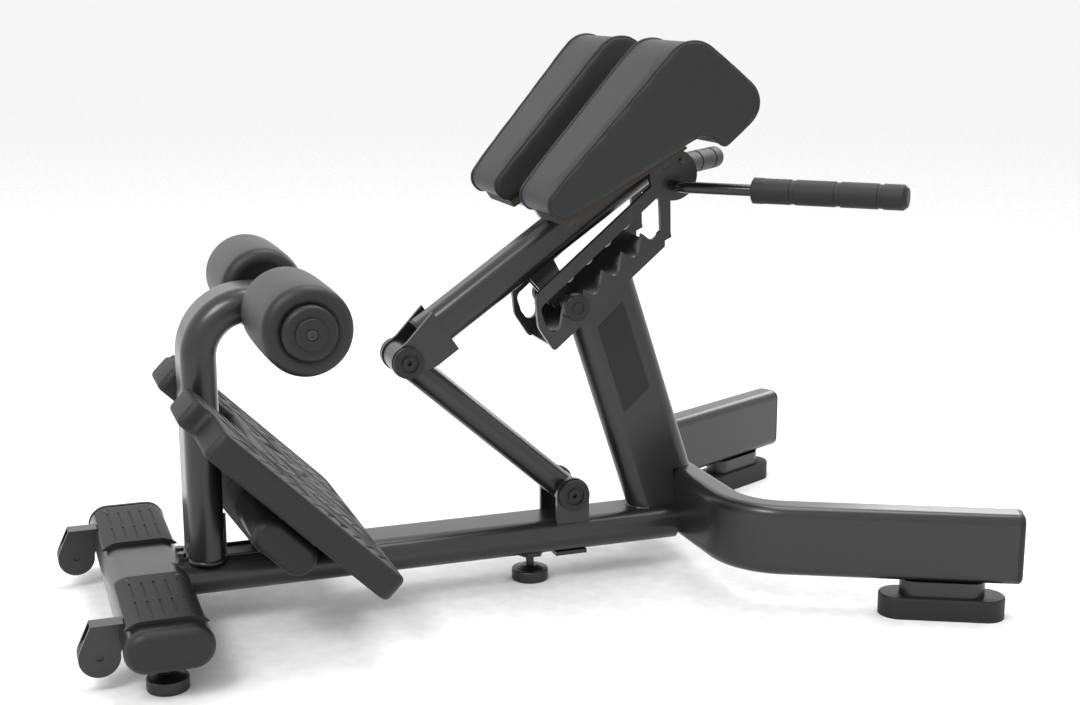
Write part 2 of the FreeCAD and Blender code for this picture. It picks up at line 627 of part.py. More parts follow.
def build_footplate():
    board = prism("board_body", "XY_Plane", lambda sketch: draw_polygon(sketch, plate_outline("0")),
                  "plate_thick - mat_thick")
    place(board, *deep_point("0", "-plate_thick"), tilt="-plate_angle")
    hollow = new_sketch(board, "XY_Plane")
    draw_polygon(hollow, plate_outline("plate_wall"))
    extrude(board, hollow, "plate_thick - mat_thick - plate_wall", cut=True, reverse=True)
    for edge, radius in (("plate_wall", "plate_corner - plate_wall"), ("0", "plate_corner")):
        for sign in "+-":
            y = "%s(plate_half - %s)" % (sign, edge)
            round_edges(board, radius, at_point("plate_length - " + edge, y, "z"))
    rail = prism("board_cope", "YZ_Plane", lambda sketch: oval_loops(
        sketch, "tube_wide + 1", "tube_thin + 1"), "leg_station - beam_station")
    place(rail, "beam_station", "0", "axis_level")
    keep("footplate_board", cut("footplate_board", board, rail))
    mat = prism("mat_body", "XY_Plane",
                lambda sketch: draw_polygon(sketch, plate_outline("1.5")), "mat_thick")
    place(mat, *deep_point("0", "-mat_thick"), tilt="-plate_angle")
    for y in ("plate_half - 1.5", "-(plate_half - 1.5)"):
        round_edges(mat, "plate_corner - 1", at_point("plate_length - 1.5", y, "z"))
    keep("footplate_mat", mat)
    x, z = plate_point("plate_beam_along", "-plate_beam_below")

    def beam_body(name, wall, half):
        body = prism(name, "XZ_Plane", lambda sketch: oval_loops(sketch, "tube_wide", "tube_thin", wall),
                     "2*(%s)" % half)
        return place(body, x, half, z, tilt="-plate_angle")

    keep("footplate_beam", beam_body("plate_beam_tube", "tube_wall", "plate_beam_half"))
    for side, sign in SIDES:
        cap = prism("plate_beam_cap_" + side, "XZ_Plane",
                    lambda sketch: oval_loops(sketch, "tube_wide", "tube_thin"), "12")
        low, high = span(sign, "plate_beam_half", "plate_beam_half + 12")
        place(cap, x, high, z, tilt="-plate_angle")
        round_edges(cap, "10", on_plane("y", "0" if sign == "+" else "-12"))
        gather("footplate_beam_caps", cap)
    skin = "-mat_thick - plate_wall"
    for number, inner in enumerate(("62", "-68", "140", "-146")):
        rib = prism("plate_rib_%d" % number, "XZ_Plane", lambda sketch: draw_polygon(sketch, [
            ("plate_beam_along - 44", skin), ("plate_beam_along + 44", skin),
            ("plate_beam_along + 24", "tube_thin/2 - plate_beam_below"),
            ("plate_beam_along - 24", "tube_thin/2 - plate_beam_below")]), "6")
        gather("footplate_ribs", place(rib, "plate_station", "%s + 6" % inner, "plate_level",
                                       tilt="-plate_angle"))
    heel = "post_station + tube_thin/2"
    reach = "(%s - plate_station + plate_thick*sin(plate_angle))/cos(plate_angle)" % heel
    under = "-plate_thick - 0.5"
    for side, sign in SIDES:
        low, high = span(sign, "gusset_inner", "gusset_inner + gusset_thick")
        web = prism("gusset_web_" + side, "XZ_Plane", lambda sketch: draw_polygon(sketch, [
            (heel, "gusset_heel"), ("gusset_toe", RAIL_SKIN),
            (plate_point("gusset_far", "0")[0] + " - plate_thick*sin(plate_angle) - 16", RAIL_SKIN),
            plate_point("gusset_far", under), plate_point(reach + " + 4", under),
            (heel, plate_point(reach + " + 4", under)[1])]), "gusset_thick")
        place(web, "0", high, "0")
        bore = lateral("gusset_bore_" + side, "spacer_radius", low, high, "spacer_station", "spacer_level")
        envelope = beam_body("gusset_cope_" + side, None, "plate_beam_half")
        gather("gussets", cut("gusset_" + side, web, envelope, bore))
    gather("gussets", lateral("gusset_spacer", "spacer_radius", "-spacer_half", "spacer_half",
                              "spacer_station", "spacer_level"))


def deep_point(along, above):
    """Position of a footplate piece as X, Y and Z."""
    x, z = plate_point(along, above)
    return x, "0", z


# ---------------------------------------------------------------- upright column, rack and handles

def build_column():
    tube = prism("column_tube", "XY_Plane",
                 lambda sketch: oval_loops(sketch, "column_wide", "tube_thin", "tube_wall"), "560")
    foot = "column_foot + 60*sin(column_lean)"
    place(tube, foot, "0", RAIL_SKIN + " - 60*cos(column_lean)", tilt="column_lean")
    leg_front = "leg_station - leg_wide/2"
    leg_top = "leg_level + leg_high/2"
    trim = prism("column_trim", "XZ_Plane", lambda sketch: draw_polygon(sketch, [
        ("column_foot - 200", RAIL_SKIN), (leg_front, RAIL_SKIN), (leg_front, leg_top),
        ("leg_station + 80", leg_top), rack_point("300", "-rack_sole"),
        rack_point("-120", "-rack_sole")]), "tube_wide")
    place(trim, "0", "tube_wide/2", "0")
    keep("upright_column", common("upright_column", tube, trim))
    for side, sign in SIDES:
        low, high = span(sign, "tube_thin/2", "tube_thin/2 + panel_thick")
        panel = prism("panel_" + side, "XZ_Plane", lambda sketch: draw_polygon(sketch, [
            ("-panel_wide/2", "panel_low"), ("panel_wide/2", "panel_low + 22"),
            ("panel_wide/2", "panel_high + 22"), ("-panel_wide/2", "panel_high")]), "panel_thick")
        gather("badge_panels", place(panel, "column_foot", high, RAIL_SKIN, tilt="column_lean"))


def rack_outline():
    """Outside of one rack plate, from its lower tip round to the handle disc."""
    end = "5*notch_pitch"
    return [("-20", "-rack_sole"), (end + " + 8", "-rack_sole"), (end + " + 14", "-11"),
            (end + " + 25", "-14"), (end + " + 29", "-7"), (end + " + 60", "32"),
            (end + " + 60", "bar_height"), ("12", "bar_height"),
            ("-15", "26")]


def slot_outline():
    """The slot with its six hooked notches, opening into the window at its top end."""
    points = [("6", "slot_height"), ("-4", "tooth_height")]
    for k in range(6):
        root = "%d*notch_pitch" % k
        if k:
            points.append((root + " - tooth_back", "tooth_height"))
        points += [(root + " - 4", "10.3"), (root + " + 12.7", "5")]
    points += [("5*notch_pitch + 18", "4.5"), ("5*notch_pitch + 45", "40"),
               ("5*notch_pitch + 44", "slot_height")]
    return points


def build_rack():
    x, z = "rack_station", "rack_level"
    for side, sign in SIDES:
        low, high = span(sign, "rack_inner", "rack_inner + rack_sheet")
        plate = prism("rack_body_" + side, "XZ_Plane",
                      lambda sketch: draw_polygon(sketch, rack_outline()), "rack_sheet")
        place(plate, x, high, z, tilt="rack_angle")
        corner_rounds(plate, [("-20", "-rack_sole", "5"), ("12", "bar_height", "24"),
                              ("-15", "26", "22")], "y")
        slot = new_sketch(plate, "XZ_Plane")
        draw_polygon(slot, slot_outline())
        extrude(plate, slot, "rack_sheet", cut=True, reverse=True)
        for px, pz, radius in (("6", "slot_height", "12"), ("-4", "tooth_height", "10")):
            round_edges(plate, radius, at_point(px, pz, "y"))
        seats = new_sketch(plate, "XZ_Plane")
        for k in range(6):
            draw_circle(seats, "pin_radius + pin_play", "%d*notch_pitch + seat_run" % k, "seat_rise")
        extrude(plate, seats, "rack_sheet", cut=True, reverse=True)
        disc = lateral("rack_disc_" + side, "disc_radius", low, high, "disc_station", "disc_level")
        bore = lateral("rack_bore_" + side, "handle_radius", low, high, "disc_station", "handle_level")
        gather("rack_plates", cut("rack_plate_" + side, fuse("rack_whole_" + side, plate, disc), bore))
    floor = prism("channel_body", "XZ_Plane", lambda sketch: draw_polygon(sketch, [
        ("-16", "-rack_sole"), ("5*notch_pitch + 6", "-rack_sole"),
        ("5*notch_pitch + 6", "channel_sheet - rack_sole"),
        ("-16", "channel_sheet - rack_sole")]), "2*rack_inner")
    place(floor, x, "rack_inner", z, tilt="rack_angle")
    keep("rack_channel", floor)


def build_handles():
    swing, bend = num("handle_swing"), num("handle_bend")
    for side, sign in SIDES:
        flip = 1 if sign == "+" else -1
        body = new_body("handle_body_" + side)
        path = new_sketch(body, "XY_Plane")
        straight, length = num("handle_lateral + rack_sheet"), num("handle_length")
        centre = V(bend, flip * straight, 0)
        turned = math.radians(swing)
        arc_end = V(bend - bend * math.cos(turned), flip * (straight + bend * math.sin(turned)), 0)
        far = arc_end + V(math.sin(turned), flip * math.cos(turned), 0) * length
        path.addGeometry(Part.LineSegment(V(0, 0, 0), V(0, flip * straight, 0)), False)
        start, stop = (math.pi - turned, math.pi) if flip > 0 else (math.pi, math.pi + turned)
        path.addGeometry(Part.ArcOfCircle(Part.Circle(centre, V(0, 0, 1), bend), start, stop), False)
        path.addGeometry(Part.LineSegment(arc_end, far), False)
        near_end, far_end = (2, 1) if flip > 0 else (1, 2)
        path.addConstraint(Sketcher.Constraint("Coincident", 0, 1, -1, 1))
        path.addConstraint(Sketcher.Constraint("Vertical", 0))
        path.addConstraint(Sketcher.Constraint("Tangent", 0, 2, 1, near_end))
        path.addConstraint(Sketcher.Constraint("Tangent", 1, far_end, 2, 1))
        bind(path, "Radius", "handle_bend", 1)
        bind(path, "DistanceY", sign + "(handle_lateral + rack_sheet)", -1, 1, 0, 2)
        bind(path, "Distance", "handle_length", 2)
        angle = "90 - handle_swing" if flip > 0 else "-(90 - handle_swing)"
        index = path.addConstraint(Sketcher.Constraint("Angle", -1, 1, 2, 1, math.radians(num(angle))))
        path.setExpression("Constraints[%d]" % index, ex("(%s)*1 deg" % angle))
        section = new_sketch(body, "XZ_Plane")
        draw_circle(section, "handle_radius")
        doc.recompute()
        pipe = body.newObject("PartDesign::AdditivePipe", "handle_pipe_" + side)
        pipe.Profile = section
        pipe.Spine = (path, ["Edge1", "Edge2", "Edge3"])
        place(body, "disc_station", sign + "rack_inner", "handle_level")
        gather("handle_bars", body)
        grip = new_body("grip_body_" + side)
        profile = new_sketch(grip, "XZ_Plane")
        r, length = "grip_radius", "grip_length"
        points = [("0", "handle_radius"), ("0", r + " - 3"), ("2", r + " + 0.5"), ("16", r + " + 0.5"),
                  ("18", r)]
        for share in (0.27, 0.56, 0.83):
            mid = "%s*grip_length" % share
            points += [(mid + " - 4", r), (mid + " - 3.5", r + " - 1.2"), (mid + " + 3.5", r + " - 1.2"),
                       (mid + " + 4", r)]
        points += [(length + " - 6", r), (length, r + " - 5"), (length, "0"),
                   ("handle_length - grip_start", "0"), ("handle_length - grip_start", "handle_radius")]
        draw_polygon(profile, points)
        spin = grip.newObject("PartDesign::Revolution", "grip_spin_" + side)
        spin.Profile = profile
        spin.ReferenceAxis = (profile, ["H_Axis"])
        spin.Angle = 360
        turned_x = "handle_bend*(1 - cos(handle_swing)) + grip_start*sin(handle_swing)"
        turned_y = "rack_inner + rack_sheet + handle_lateral + handle_bend*sin(handle_swing)"
        place(grip, "disc_station + " + turned_x, "%s(%s + grip_start*cos(handle_swing))" % (sign, turned_y),
              "handle_level", turn="%s(90 - handle_swing)" % sign)
        gather("handle_grips", grip)


# ---------------------------------------------------------------- rear legs and feet

def leg_point(along, sign):
    """World X and Y of a point along the straight outer run of a rear leg."""
    x = "leg_station + leg_bend*(1 - cos(leg_turn)) + (%s)*sin(leg_turn)" % along
    y = "%s(leg_straight + leg_bend*sin(leg_turn) + (%s)*cos(leg_turn))" % (sign, along)
    return x, y


def build_legs():
    for side, sign in SIDES:
        flip = 1 if sign == "+" else -1
        body = new_body("leg_tube_" + side)
        path = new_sketch(body, "XY_Plane")
        straight, bend, turned = num("leg_straight"), num("leg_bend"), math.radians(num("leg_turn"))
        centre = V(bend, flip * straight, 0)
        arc_end = V(bend - bend * math.cos(turned), flip * (straight + bend * math.sin(turned)), 0)
        far = arc_end + V(math.sin(turned), flip * math.cos(turned), 0) * num("leg_length")
        path.addGeometry(Part.LineSegment(V(0, 0, 0), V(0, flip * straight, 0)), False)
        start, stop = (math.pi - turned, math.pi) if flip > 0 else (math.pi, math.pi + turned)
        path.addGeometry(Part.ArcOfCircle(Part.Circle(centre, V(0, 0, 1), bend), start, stop), False)
        path.addGeometry(Part.LineSegment(arc_end, far), False)
        near_end, far_end = (2, 1) if flip > 0 else (1, 2)
        path.addConstraint(Sketcher.Constraint("Coincident", 0, 1, -1, 1))
        path.addConstraint(Sketcher.Constraint("Vertical", 0))
        path.addConstraint(Sketcher.Constraint("Tangent", 0, 2, 1, near_end))
        path.addConstraint(Sketcher.Constraint("Tangent", 1, far_end, 2, 1))
        bind(path, "Radius", "leg_bend", 1)
        bind(path, "DistanceY", sign + "leg_straight", -1, 1, 0, 2)
        bind(path, "Distance", "leg_length", 2)
        angle = "90 - leg_turn" if flip > 0 else "-(90 - leg_turn)"
        index = path.addConstraint(Sketcher.Constraint("Angle", -1, 1, 2, 1, math.radians(num(angle))))
        path.setExpression("Constraints[%d]" % index, ex("(%s)*1 deg" % angle))
        section = new_sketch(body, "XZ_Plane")
        draw_rounded_box(section, "leg_wide", "leg_high", "leg_round")
        draw_rounded_box(section, "leg_wide", "leg_high", "leg_round", "tube_wall")
        doc.recompute()
        pipe = body.newObject("PartDesign::AdditivePipe", "leg_pipe_" + side)
        pipe.Profile = section
        pipe.Spine = (path, ["Edge1", "Edge2", "Edge3"])
        place(body, "leg_station", "0", "leg_level")
        keep("rear_leg_" + side, body)
        turn = "%s(90 - leg_turn)" % sign
        cap = prism("leg_cap_body_" + side, "YZ_Plane",
                    lambda sketch: draw_rounded_box(sketch, "leg_wide", "leg_high", "leg_round"), "leg_cap")
        place(cap, *leg_point("leg_length", sign), "leg_level", turn=turn)
        round_edges(cap, "leg_cap - 2", on_plane("x", "leg_cap"))
        gather("leg_caps", cap)
        low = "leg_level - leg_high/2"
        riser = prism("riser_body_" + side, "XY_Plane", lambda sketch: oval_loops(
            sketch, "spacer_long", "spacer_wide"), low + " - rubber_thick")
        place(riser, *leg_point("rear_foot_along", sign), "rubber_thick", turn=turn)
        gather("foot_risers", riser)
        rubber = prism("rubber_body_" + side, "XY_Plane",
                       lambda sketch: oval_loops(sketch, "rubber_long", "rubber_wide"), "rubber_thick")
        place(rubber, *leg_point("rear_foot_along", sign), "0", turn=turn)
        round_edges(rubber, "3", on_plane("z", "rubber_thick"))
        wells = [vertical("rubber_well", "8", "-1", "12", *leg_point("rear_foot_along %s 35" % end, sign))
                 for end in ("-", "+")]
        gather("rubber_feet", cut("rubber_foot_" + side, rubber, *wells))


# ---------------------------------------------------------------- link and its lower pivot

LINK_RISE = "elbow_level - pivot_level"
LINK_RUN = "pivot_station - elbow_station"
LINK_LENGTH = "sqrt((%s)^2 + (%s)^2)" % (LINK_RISE, LINK_RUN)
LINK_ANGLE = "180 deg - atan((%s)/(%s))" % (LINK_RISE, LINK_RUN)


def ringed_cap(name, radius, inner, outer, sign, x, z):
    """Round cap with a shallow well round its bolt."""
    low, high = span(sign, inner, outer)
    disc = lateral(name + "_disc", radius, low, high, x, z)
    well_low, well_high = span(sign, "(%s) - 2.5" % outer, "(%s) + 1" % outer)
    well = cut(name + "_ring", lateral(name + "_well", "(%s)*0.62" % radius, well_low, well_high, x, z),
               lateral(name + "_boss", "(%s)*0.42" % radius, well_low, well_high, x, z))
    hole_low, hole_high = span(sign, "(%s) - 5" % outer, "(%s) + 1" % outer)
    return cut(name, disc, well, lateral(name + "_hole", "3.6", hole_low, hole_high, x, z))


def build_pivot():
    x, z = "pivot_station", "pivot_level"
    for side, sign in SIDES:
        low, high = span(sign, "cheek_inner", "cheek_inner + cheek_sheet")
        wall = prism("cheek_body_" + side, "XZ_Plane", lambda sketch: draw_polygon(sketch, [
            ("pivot_station - cheek_round", "axis_level"), ("pivot_station + cheek_round", "axis_level"),
            ("pivot_station + cheek_round", z), ("pivot_station - cheek_round", z)]), "cheek_sheet")
        place(wall, "0", high, "0")
        crown = lateral("cheek_crown_" + side, "cheek_round", low, high, x, z)
        bore = lateral("cheek_bore_" + side, "pivot_radius", low, high, x, z)
        cope = prism("cheek_cope_" + side, "YZ_Plane",
                     lambda sketch: oval_loops(sketch, "tube_wide", "tube_thin"), "4*cheek_round")
        place(cope, "pivot_station - 2*cheek_round", "0", "axis_level")
        whole = fuse("cheek_whole_" + side, wall, crown)
        gather("pivot_cheeks", cut("pivot_cheek_" + side, whole, bore, cope))
        gather("pivot_caps", ringed_cap("pivot_cap_" + side, "pivot_cap", "cheek_inner + cheek_sheet",
                                        "cheek_inner + cheek_sheet + pivot_cap_thick", sign, x, z))
    keep("pivot_axle", lateral("pivot_axle", "pivot_radius", "-cheek_inner - cheek_sheet",
                               "cheek_inner + cheek_sheet", x, z))
    underside = "axis_level - tube_thin/2"
    plate = box("clamp_plate", ("pivot_station - cheek_round", "-36", underside + " - clamp_thick"),
                ("pivot_station + cheek_round - 2", "36", underside))
    keep("rail_clamp_plate", plate)


def build_link():
    hub_half = "cheek_inner - joint_gap"
    lower, upper = ("pivot_station", "pivot_level"), ("elbow_station", "elbow_level")
    gather("link_hubs", tube_y("link_hub_lower", "hub_radius", "bush_radius",
                               "-(%s)" % hub_half, hub_half, *lower))
    upper_half = "arm_wide/2 - joint_gap"
    gather("link_hubs", tube_y("link_hub_upper", "hub_radius", "bush_radius",
                               "-(%s)" % upper_half, upper_half, *upper))
    tube = prism("link_body", "YZ_Plane", lambda sketch: oval_loops(
        sketch, "link_wide - 2*joint_gap", "link_thin", "tube_wall"), LINK_LENGTH)
    place(tube, "pivot_station", "0", "pivot_level", tilt=LINK_ANGLE)
    copes = [lateral("link_cope_low", "hub_radius", "-link_wide", "link_wide", *lower),
             lateral("link_cope_high", "hub_radius", "-link_wide", "link_wide", *upper)]
    keep("link_tube", cut("link_tube", tube, *copes))
    gather("link_bushes", tube_y("bush_low", "bush_radius", "pivot_radius + joint_gap",
                                 "-(%s)" % hub_half, hub_half, *lower))
    gather("link_bushes", tube_y("bush_high", "bush_radius", "pivot_radius + joint_gap",
                                 "-(%s)" % upper_half, upper_half, *upper))


# ---------------------------------------------------------------- pad arm

def arm_prism(name, outline, low, high):
    """Plate drawn along and square to the arm, from the elbow."""
    body = prism(name, "XZ_Plane", lambda sketch: draw_polygon(sketch, outline), "(%s) - (%s)" % (high, low))
    return place(body, "elbow_station", high, "elbow_level", tilt="arm_angle")


def build_arm():
    def section(sketch):
        draw_rounded_box(sketch, "arm_wide", "arm_high", "arm_round")
        draw_rounded_box(sketch, "arm_wide", "arm_high", "arm_round", "tube_wall")

    def along_arm(along, above):
        return ("elbow_station + (%s)*cos(arm_angle) - (%s)*sin(arm_angle)" % (along, above), "0",
                "elbow_level + (%s)*sin(arm_angle) + (%s)*cos(arm_angle)" % (along, above))

    tube = prism("arm_body", "YZ_Plane", section, "arm_end - arm_start")
    keep("arm_tube", place(tube, *along_arm("arm_start", "arm_rise"), tilt="arm_angle"))
    for label, along in (("front", "arm_start - plug_thick"), ("rear", "arm_end")):
        plug = prism("arm_plug_body_" + label, "YZ_Plane", lambda sketch: draw_rounded_box(
            sketch, "arm_wide - 0.4", "arm_high", "arm_round"), "plug_thick")
        place(plug, *along_arm(along, "arm_rise"), tilt="arm_angle")
        gather("arm_plugs", plug)
    pin_x, pin_z = arm_local(PIN_X, PIN_Z)
    for side, sign in SIDES:
        low, high = span(sign, "arm_wide/2", "arm_wide/2 + arm_plate")
        plate = arm_prism("elbow_plate_body_" + side, [
            ("-6", "23.4"), ("16", "24"), ("72", "36.5"), ("72", "-32.5"), ("32", "-32.5"),
            ("4", "-24")], low, high)
        crown = lateral("elbow_crown_" + side, "elbow_cap + 1", low, high, "elbow_station", "elbow_level")
        bore = lateral("elbow_bore_" + side, "pivot_radius", low, high, "elbow_station", "elbow_level")
        gather("elbow_plates", cut("elbow_plate_" + side, fuse("elbow_whole_" + side, plate, crown), bore))
        gather("elbow_caps", ringed_cap("elbow_cap_" + side, "elbow_cap", "arm_wide/2 + arm_plate",
                                        "arm_wide/2 + arm_plate + elbow_cap_thick", sign,
                                        "elbow_station", "elbow_level"))
        low, high = span(sign, "hanger_inner", "hanger_inner + arm_plate")
        strap = arm_prism("hanger_strap_" + side, [
            (pin_x + " - 26", "arm_rise"), (pin_x + " + 26", "arm_rise"), (pin_x + " + 16", pin_z),
            (pin_x + " - 16", pin_z)], low, high)
        cope = prism("hanger_cope_" + side, "YZ_Plane", lambda sketch: draw_rounded_box(
            sketch, "arm_wide", "arm_high", "arm_round"), "arm_end")
        place(cope, *along_arm("0", "arm_rise"), tilt="arm_angle")
        eye = lateral("hanger_eye_" + side, "hanger_round", low, high, PIN_X, PIN_Z)
        hole = lateral("hanger_hole_" + side, "pin_radius", low, high, PIN_X, PIN_Z)
        gather("pin_hangers", cut("pin_hanger_" + side, fuse("hanger_whole_" + side, strap, eye),
                                  hole, cope))
    keep("elbow_axle", lateral("elbow_axle", "pivot_radius", "-arm_wide/2 - arm_plate",
                               "arm_wide/2 + arm_plate", "elbow_station", "elbow_level"))
    outside = "rack_inner + rack_sheet + joint_gap + 0.6"
    keep("rack_pin", lateral("rack_pin", "pin_radius", "-(%s)" % outside, outside, PIN_X, PIN_Z))
    for side, sign in SIDES:
        low, high = span(sign, outside, outside + " + pin_cap_thick")
        groove_low, groove_high = span(sign, outside + " + pin_cap_thick - 1.2",
                                       outside + " + pin_cap_thick + 1")
        ring = cut("pin_ring_" + side,
                   lateral("pin_ring_outer_" + side, "9.3", groove_low, groove_high, PIN_X, PIN_Z),
                   lateral("pin_ring_inner_" + side, "8.1", groove_low, groove_high, PIN_X, PIN_Z))
        disc = prism("pin_cap_body_" + side, "XZ_Plane",
                     lambda sketch: draw_circle(sketch, "pin_cap"), "pin_cap_thick")
        place(disc, PIN_X, high, PIN_Z)
        round_edges(disc, "2.5", on_plane("y", "0" if sign == "+" else "-pin_cap_thick"))
        gather("rack_pin_caps", cut("pin_cap_" + side, disc, ring))


# Hip pad profile along and square to the arm, with the radius of each corner.
PAD_PROFILE = [("266", "70.5", "18"), ("488", "52", "6"), ("505", "47.6", "8"), ("517", "14", "9"),
               ("611", "28.4", "38"), ("566", "185", "44"), ("262", "108.5", "22")]


def build_pads():
    slope = "18.5/222"

    def under(along, depth):
        return "70.5 - ((%s) - 266)*%s - (%s)" % (along, slope, depth)

    for side, sign in SIDES:
        low, high = span(sign, "pad_inner", "pad_broad")
        whole = arm_prism("pad_body_" + side, [(x, z) for x, z, r in PAD_PROFILE], low, high)
        corner_rounds(whole, [row for row in PAD_PROFILE if row[0] != "488"], "y")
        plan = prism("pad_plan_" + side, "XY_Plane", lambda sketch: draw_polygon(sketch, [
            ("240", sign + "pad_inner"), ("640", sign + "pad_inner"), ("640", sign + "pad_broad"),
            ("240", sign + "pad_narrow")]), "400")
        place(plan, "elbow_station", "0", "elbow_level", tilt="arm_angle")
        plan.setExpression("Placement.Base.x", ex("elbow_station + 150*sin(arm_angle)"))
        plan.setExpression("Placement.Base.z", ex("elbow_level - 150*cos(arm_angle)"))
        keep("hip_pad_" + side, common("hip_pad_" + side, whole, plan))
        low, high = span(sign, "pad_inner + board_inset", "pad_narrow - board_inset")
        board = arm_prism("pad_board_body_" + side, [
            ("276", under("276", "0")), ("276", under("276", "board_thick")),
            ("480", under("480", "board_thick")), ("480", under("480", "0"))], low, high)
        gather("pad_boards", board)
    for number, along in enumerate((310, 440)):
        start, end = "%d - cross_plate_wide/2" % along, "%d + cross_plate_wide/2" % along
        lower = "board_thick + cross_plate_thick"
        gather("pad_supports", arm_prism("cross_plate_body_%d" % number, [
            (start, under(start, "board_thick")), (start, under(start, lower)),
            (end, under(end, lower)), (end, under(end, "board_thick"))],
            "-cross_plate_half", "cross_plate_half"))
        roof = "arm_rise + arm_high/2"
        gather("pad_supports", arm_prism("riser_%d" % number, [
            (start, under(start, lower)), (start, roof), (end, roof), (end, under(end, lower))], "-20", "20"))


# ---------------------------------------------------------------- build, check and write

def write_nodes():
    for label, things in SHARED.items():
        keep(label, group(label, *things))
    doc.recompute()
    for thing in doc.Objects:
        if {"Invalid", "Error"} & set(thing.State):
            raise RuntimeError("%s failed: %s" % (thing.Name, thing.State))
    bad = [label for label, thing in NODES.items()
           if thing.Shape.isNull() or not thing.Shape.isValid() or not thing.Shape.Solids]
    if bad:
        raise RuntimeError("no valid solid in " + ", ".join(bad))
    os.makedirs("parts", exist_ok=True)
    for label, thing in NODES.items():
        thing.Shape.exportStep("parts/%s.step" % label)
    print("%d nodes written" % len(NODES))


for build in (build_base, build_step_covers, build_wheels, build_feet, build_post, build_rollers,
              build_footplate, build_column, build_rack, build_handles, build_legs, build_pivot,
              build_link, build_arm, build_pads):
    build()
write_nodes()
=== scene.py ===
"""Visual model of a roman chair: 45 degree back-extension bench with a notched height rack.

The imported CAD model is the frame. This script dresses its nodes, replaces the soft and moulded ones
with detailed pieces, and adds pad seams, weld beads and rivet heads.
"""

import json
import logging
import math
from dataclasses import dataclass, field
from enum import Enum
from typing import Iterable, Protocol, Sequence

import bmesh
import bpy
from mathutils import Matrix, Vector

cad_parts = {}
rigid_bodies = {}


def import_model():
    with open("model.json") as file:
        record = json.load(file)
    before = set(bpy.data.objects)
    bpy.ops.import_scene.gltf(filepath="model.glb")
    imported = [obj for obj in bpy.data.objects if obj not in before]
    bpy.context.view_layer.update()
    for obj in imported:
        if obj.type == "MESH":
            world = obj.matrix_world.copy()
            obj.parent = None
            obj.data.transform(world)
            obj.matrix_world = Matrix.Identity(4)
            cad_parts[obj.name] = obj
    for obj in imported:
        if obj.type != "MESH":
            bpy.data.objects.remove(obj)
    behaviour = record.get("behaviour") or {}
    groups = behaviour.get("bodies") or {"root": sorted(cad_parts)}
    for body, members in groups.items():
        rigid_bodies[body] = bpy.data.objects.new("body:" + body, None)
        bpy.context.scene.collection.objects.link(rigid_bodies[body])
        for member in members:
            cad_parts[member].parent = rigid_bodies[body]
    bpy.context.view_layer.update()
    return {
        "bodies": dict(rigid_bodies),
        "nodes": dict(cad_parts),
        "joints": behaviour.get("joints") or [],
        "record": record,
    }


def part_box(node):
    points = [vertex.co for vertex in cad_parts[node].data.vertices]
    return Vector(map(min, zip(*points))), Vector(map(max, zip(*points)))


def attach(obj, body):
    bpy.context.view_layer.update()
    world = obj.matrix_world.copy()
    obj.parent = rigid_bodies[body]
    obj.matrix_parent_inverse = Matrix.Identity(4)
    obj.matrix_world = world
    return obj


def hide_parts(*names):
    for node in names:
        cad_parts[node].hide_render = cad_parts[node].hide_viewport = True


LOG = logging.getLogger("roman_chair")
MM = 0.001
NODE_MERGE = 0.00002
SPIN_MERGE = 0.000001
SIDES: tuple[tuple[str, int], ...] = (("left", 1), ("right", -1))


class Relief(Enum):
    """Kind of fine relief that a finish carries."""

    COAT = "orange peel of a powder coat"
    HIDE = "pebbled upholstery vinyl"
    MOULD = "spark-eroded plastic or rubber skin"
    METAL = "drawn or turned metal"


# ------------------------------------------------------------------ shader groups

def new_group(name: str, inputs: dict[str, tuple[str, object]],
              outputs: dict[str, str]) -> bpy.types.NodeTree:
    """Start a shader node group.

    Args:
        name: Name of the group.
        inputs: Socket name to its kind and default value.
        outputs: Socket name to its kind.

    Returns:
        The node tree with its group input and output nodes in place.
    """
    tree = bpy.data.node_groups.new(name, "ShaderNodeTree")
    for label, (kind, default) in inputs.items():
        socket = tree.interface.new_socket(name=label, in_out="INPUT", socket_type=kind)
        socket.default_value = default
    for label, kind in outputs.items():
        tree.interface.new_socket(name=label, in_out="OUTPUT", socket_type=kind)
    tree.nodes.new("NodeGroupInput")
    tree.nodes.new("NodeGroupOutput")
    return tree


def add_node(tree: bpy.types.NodeTree, kind: str, **settings: object) -> bpy.types.Node:
    """Add a node and set its properties, or its inputs where the name is a socket's.

    Args:
        tree: Tree that receives the node.
        kind: Node class.
        settings: Property or input names with values; underscores stand for spaces in inputs.

    Returns:
        The new node.
    """
    node = tree.nodes.new(kind)
    for key, value in settings.items():
        if hasattr(node, key):
            setattr(node, key, value)
        else:
            node.inputs[key.replace("_", " ")].default_value = value
    return node


def math_node(tree: bpy.types.NodeTree, operation: str, *values: object) -> bpy.types.NodeSocket:
    """Add a math node and return its result.

    Args:
        tree: Tree that receives the node.
        operation: Blender's name of the operation.
        values: Sockets or numbers, in order.

    Returns:
        The output socket.
    """
    node = tree.nodes.new("ShaderNodeMath")
    node.operation = operation
    for socket, value in zip(node.inputs, values):
        if isinstance(value, bpy.types.NodeSocket):
            tree.links.new(value, socket)
        else:
            socket.default_value = value
    return node.outputs[0]


def ends(tree: bpy.types.NodeTree) -> tuple[bpy.types.Node, bpy.types.Node]:
    """Group input and group output nodes of a tree."""
    return tree.nodes["Group Input"], tree.nodes["Group Output"]


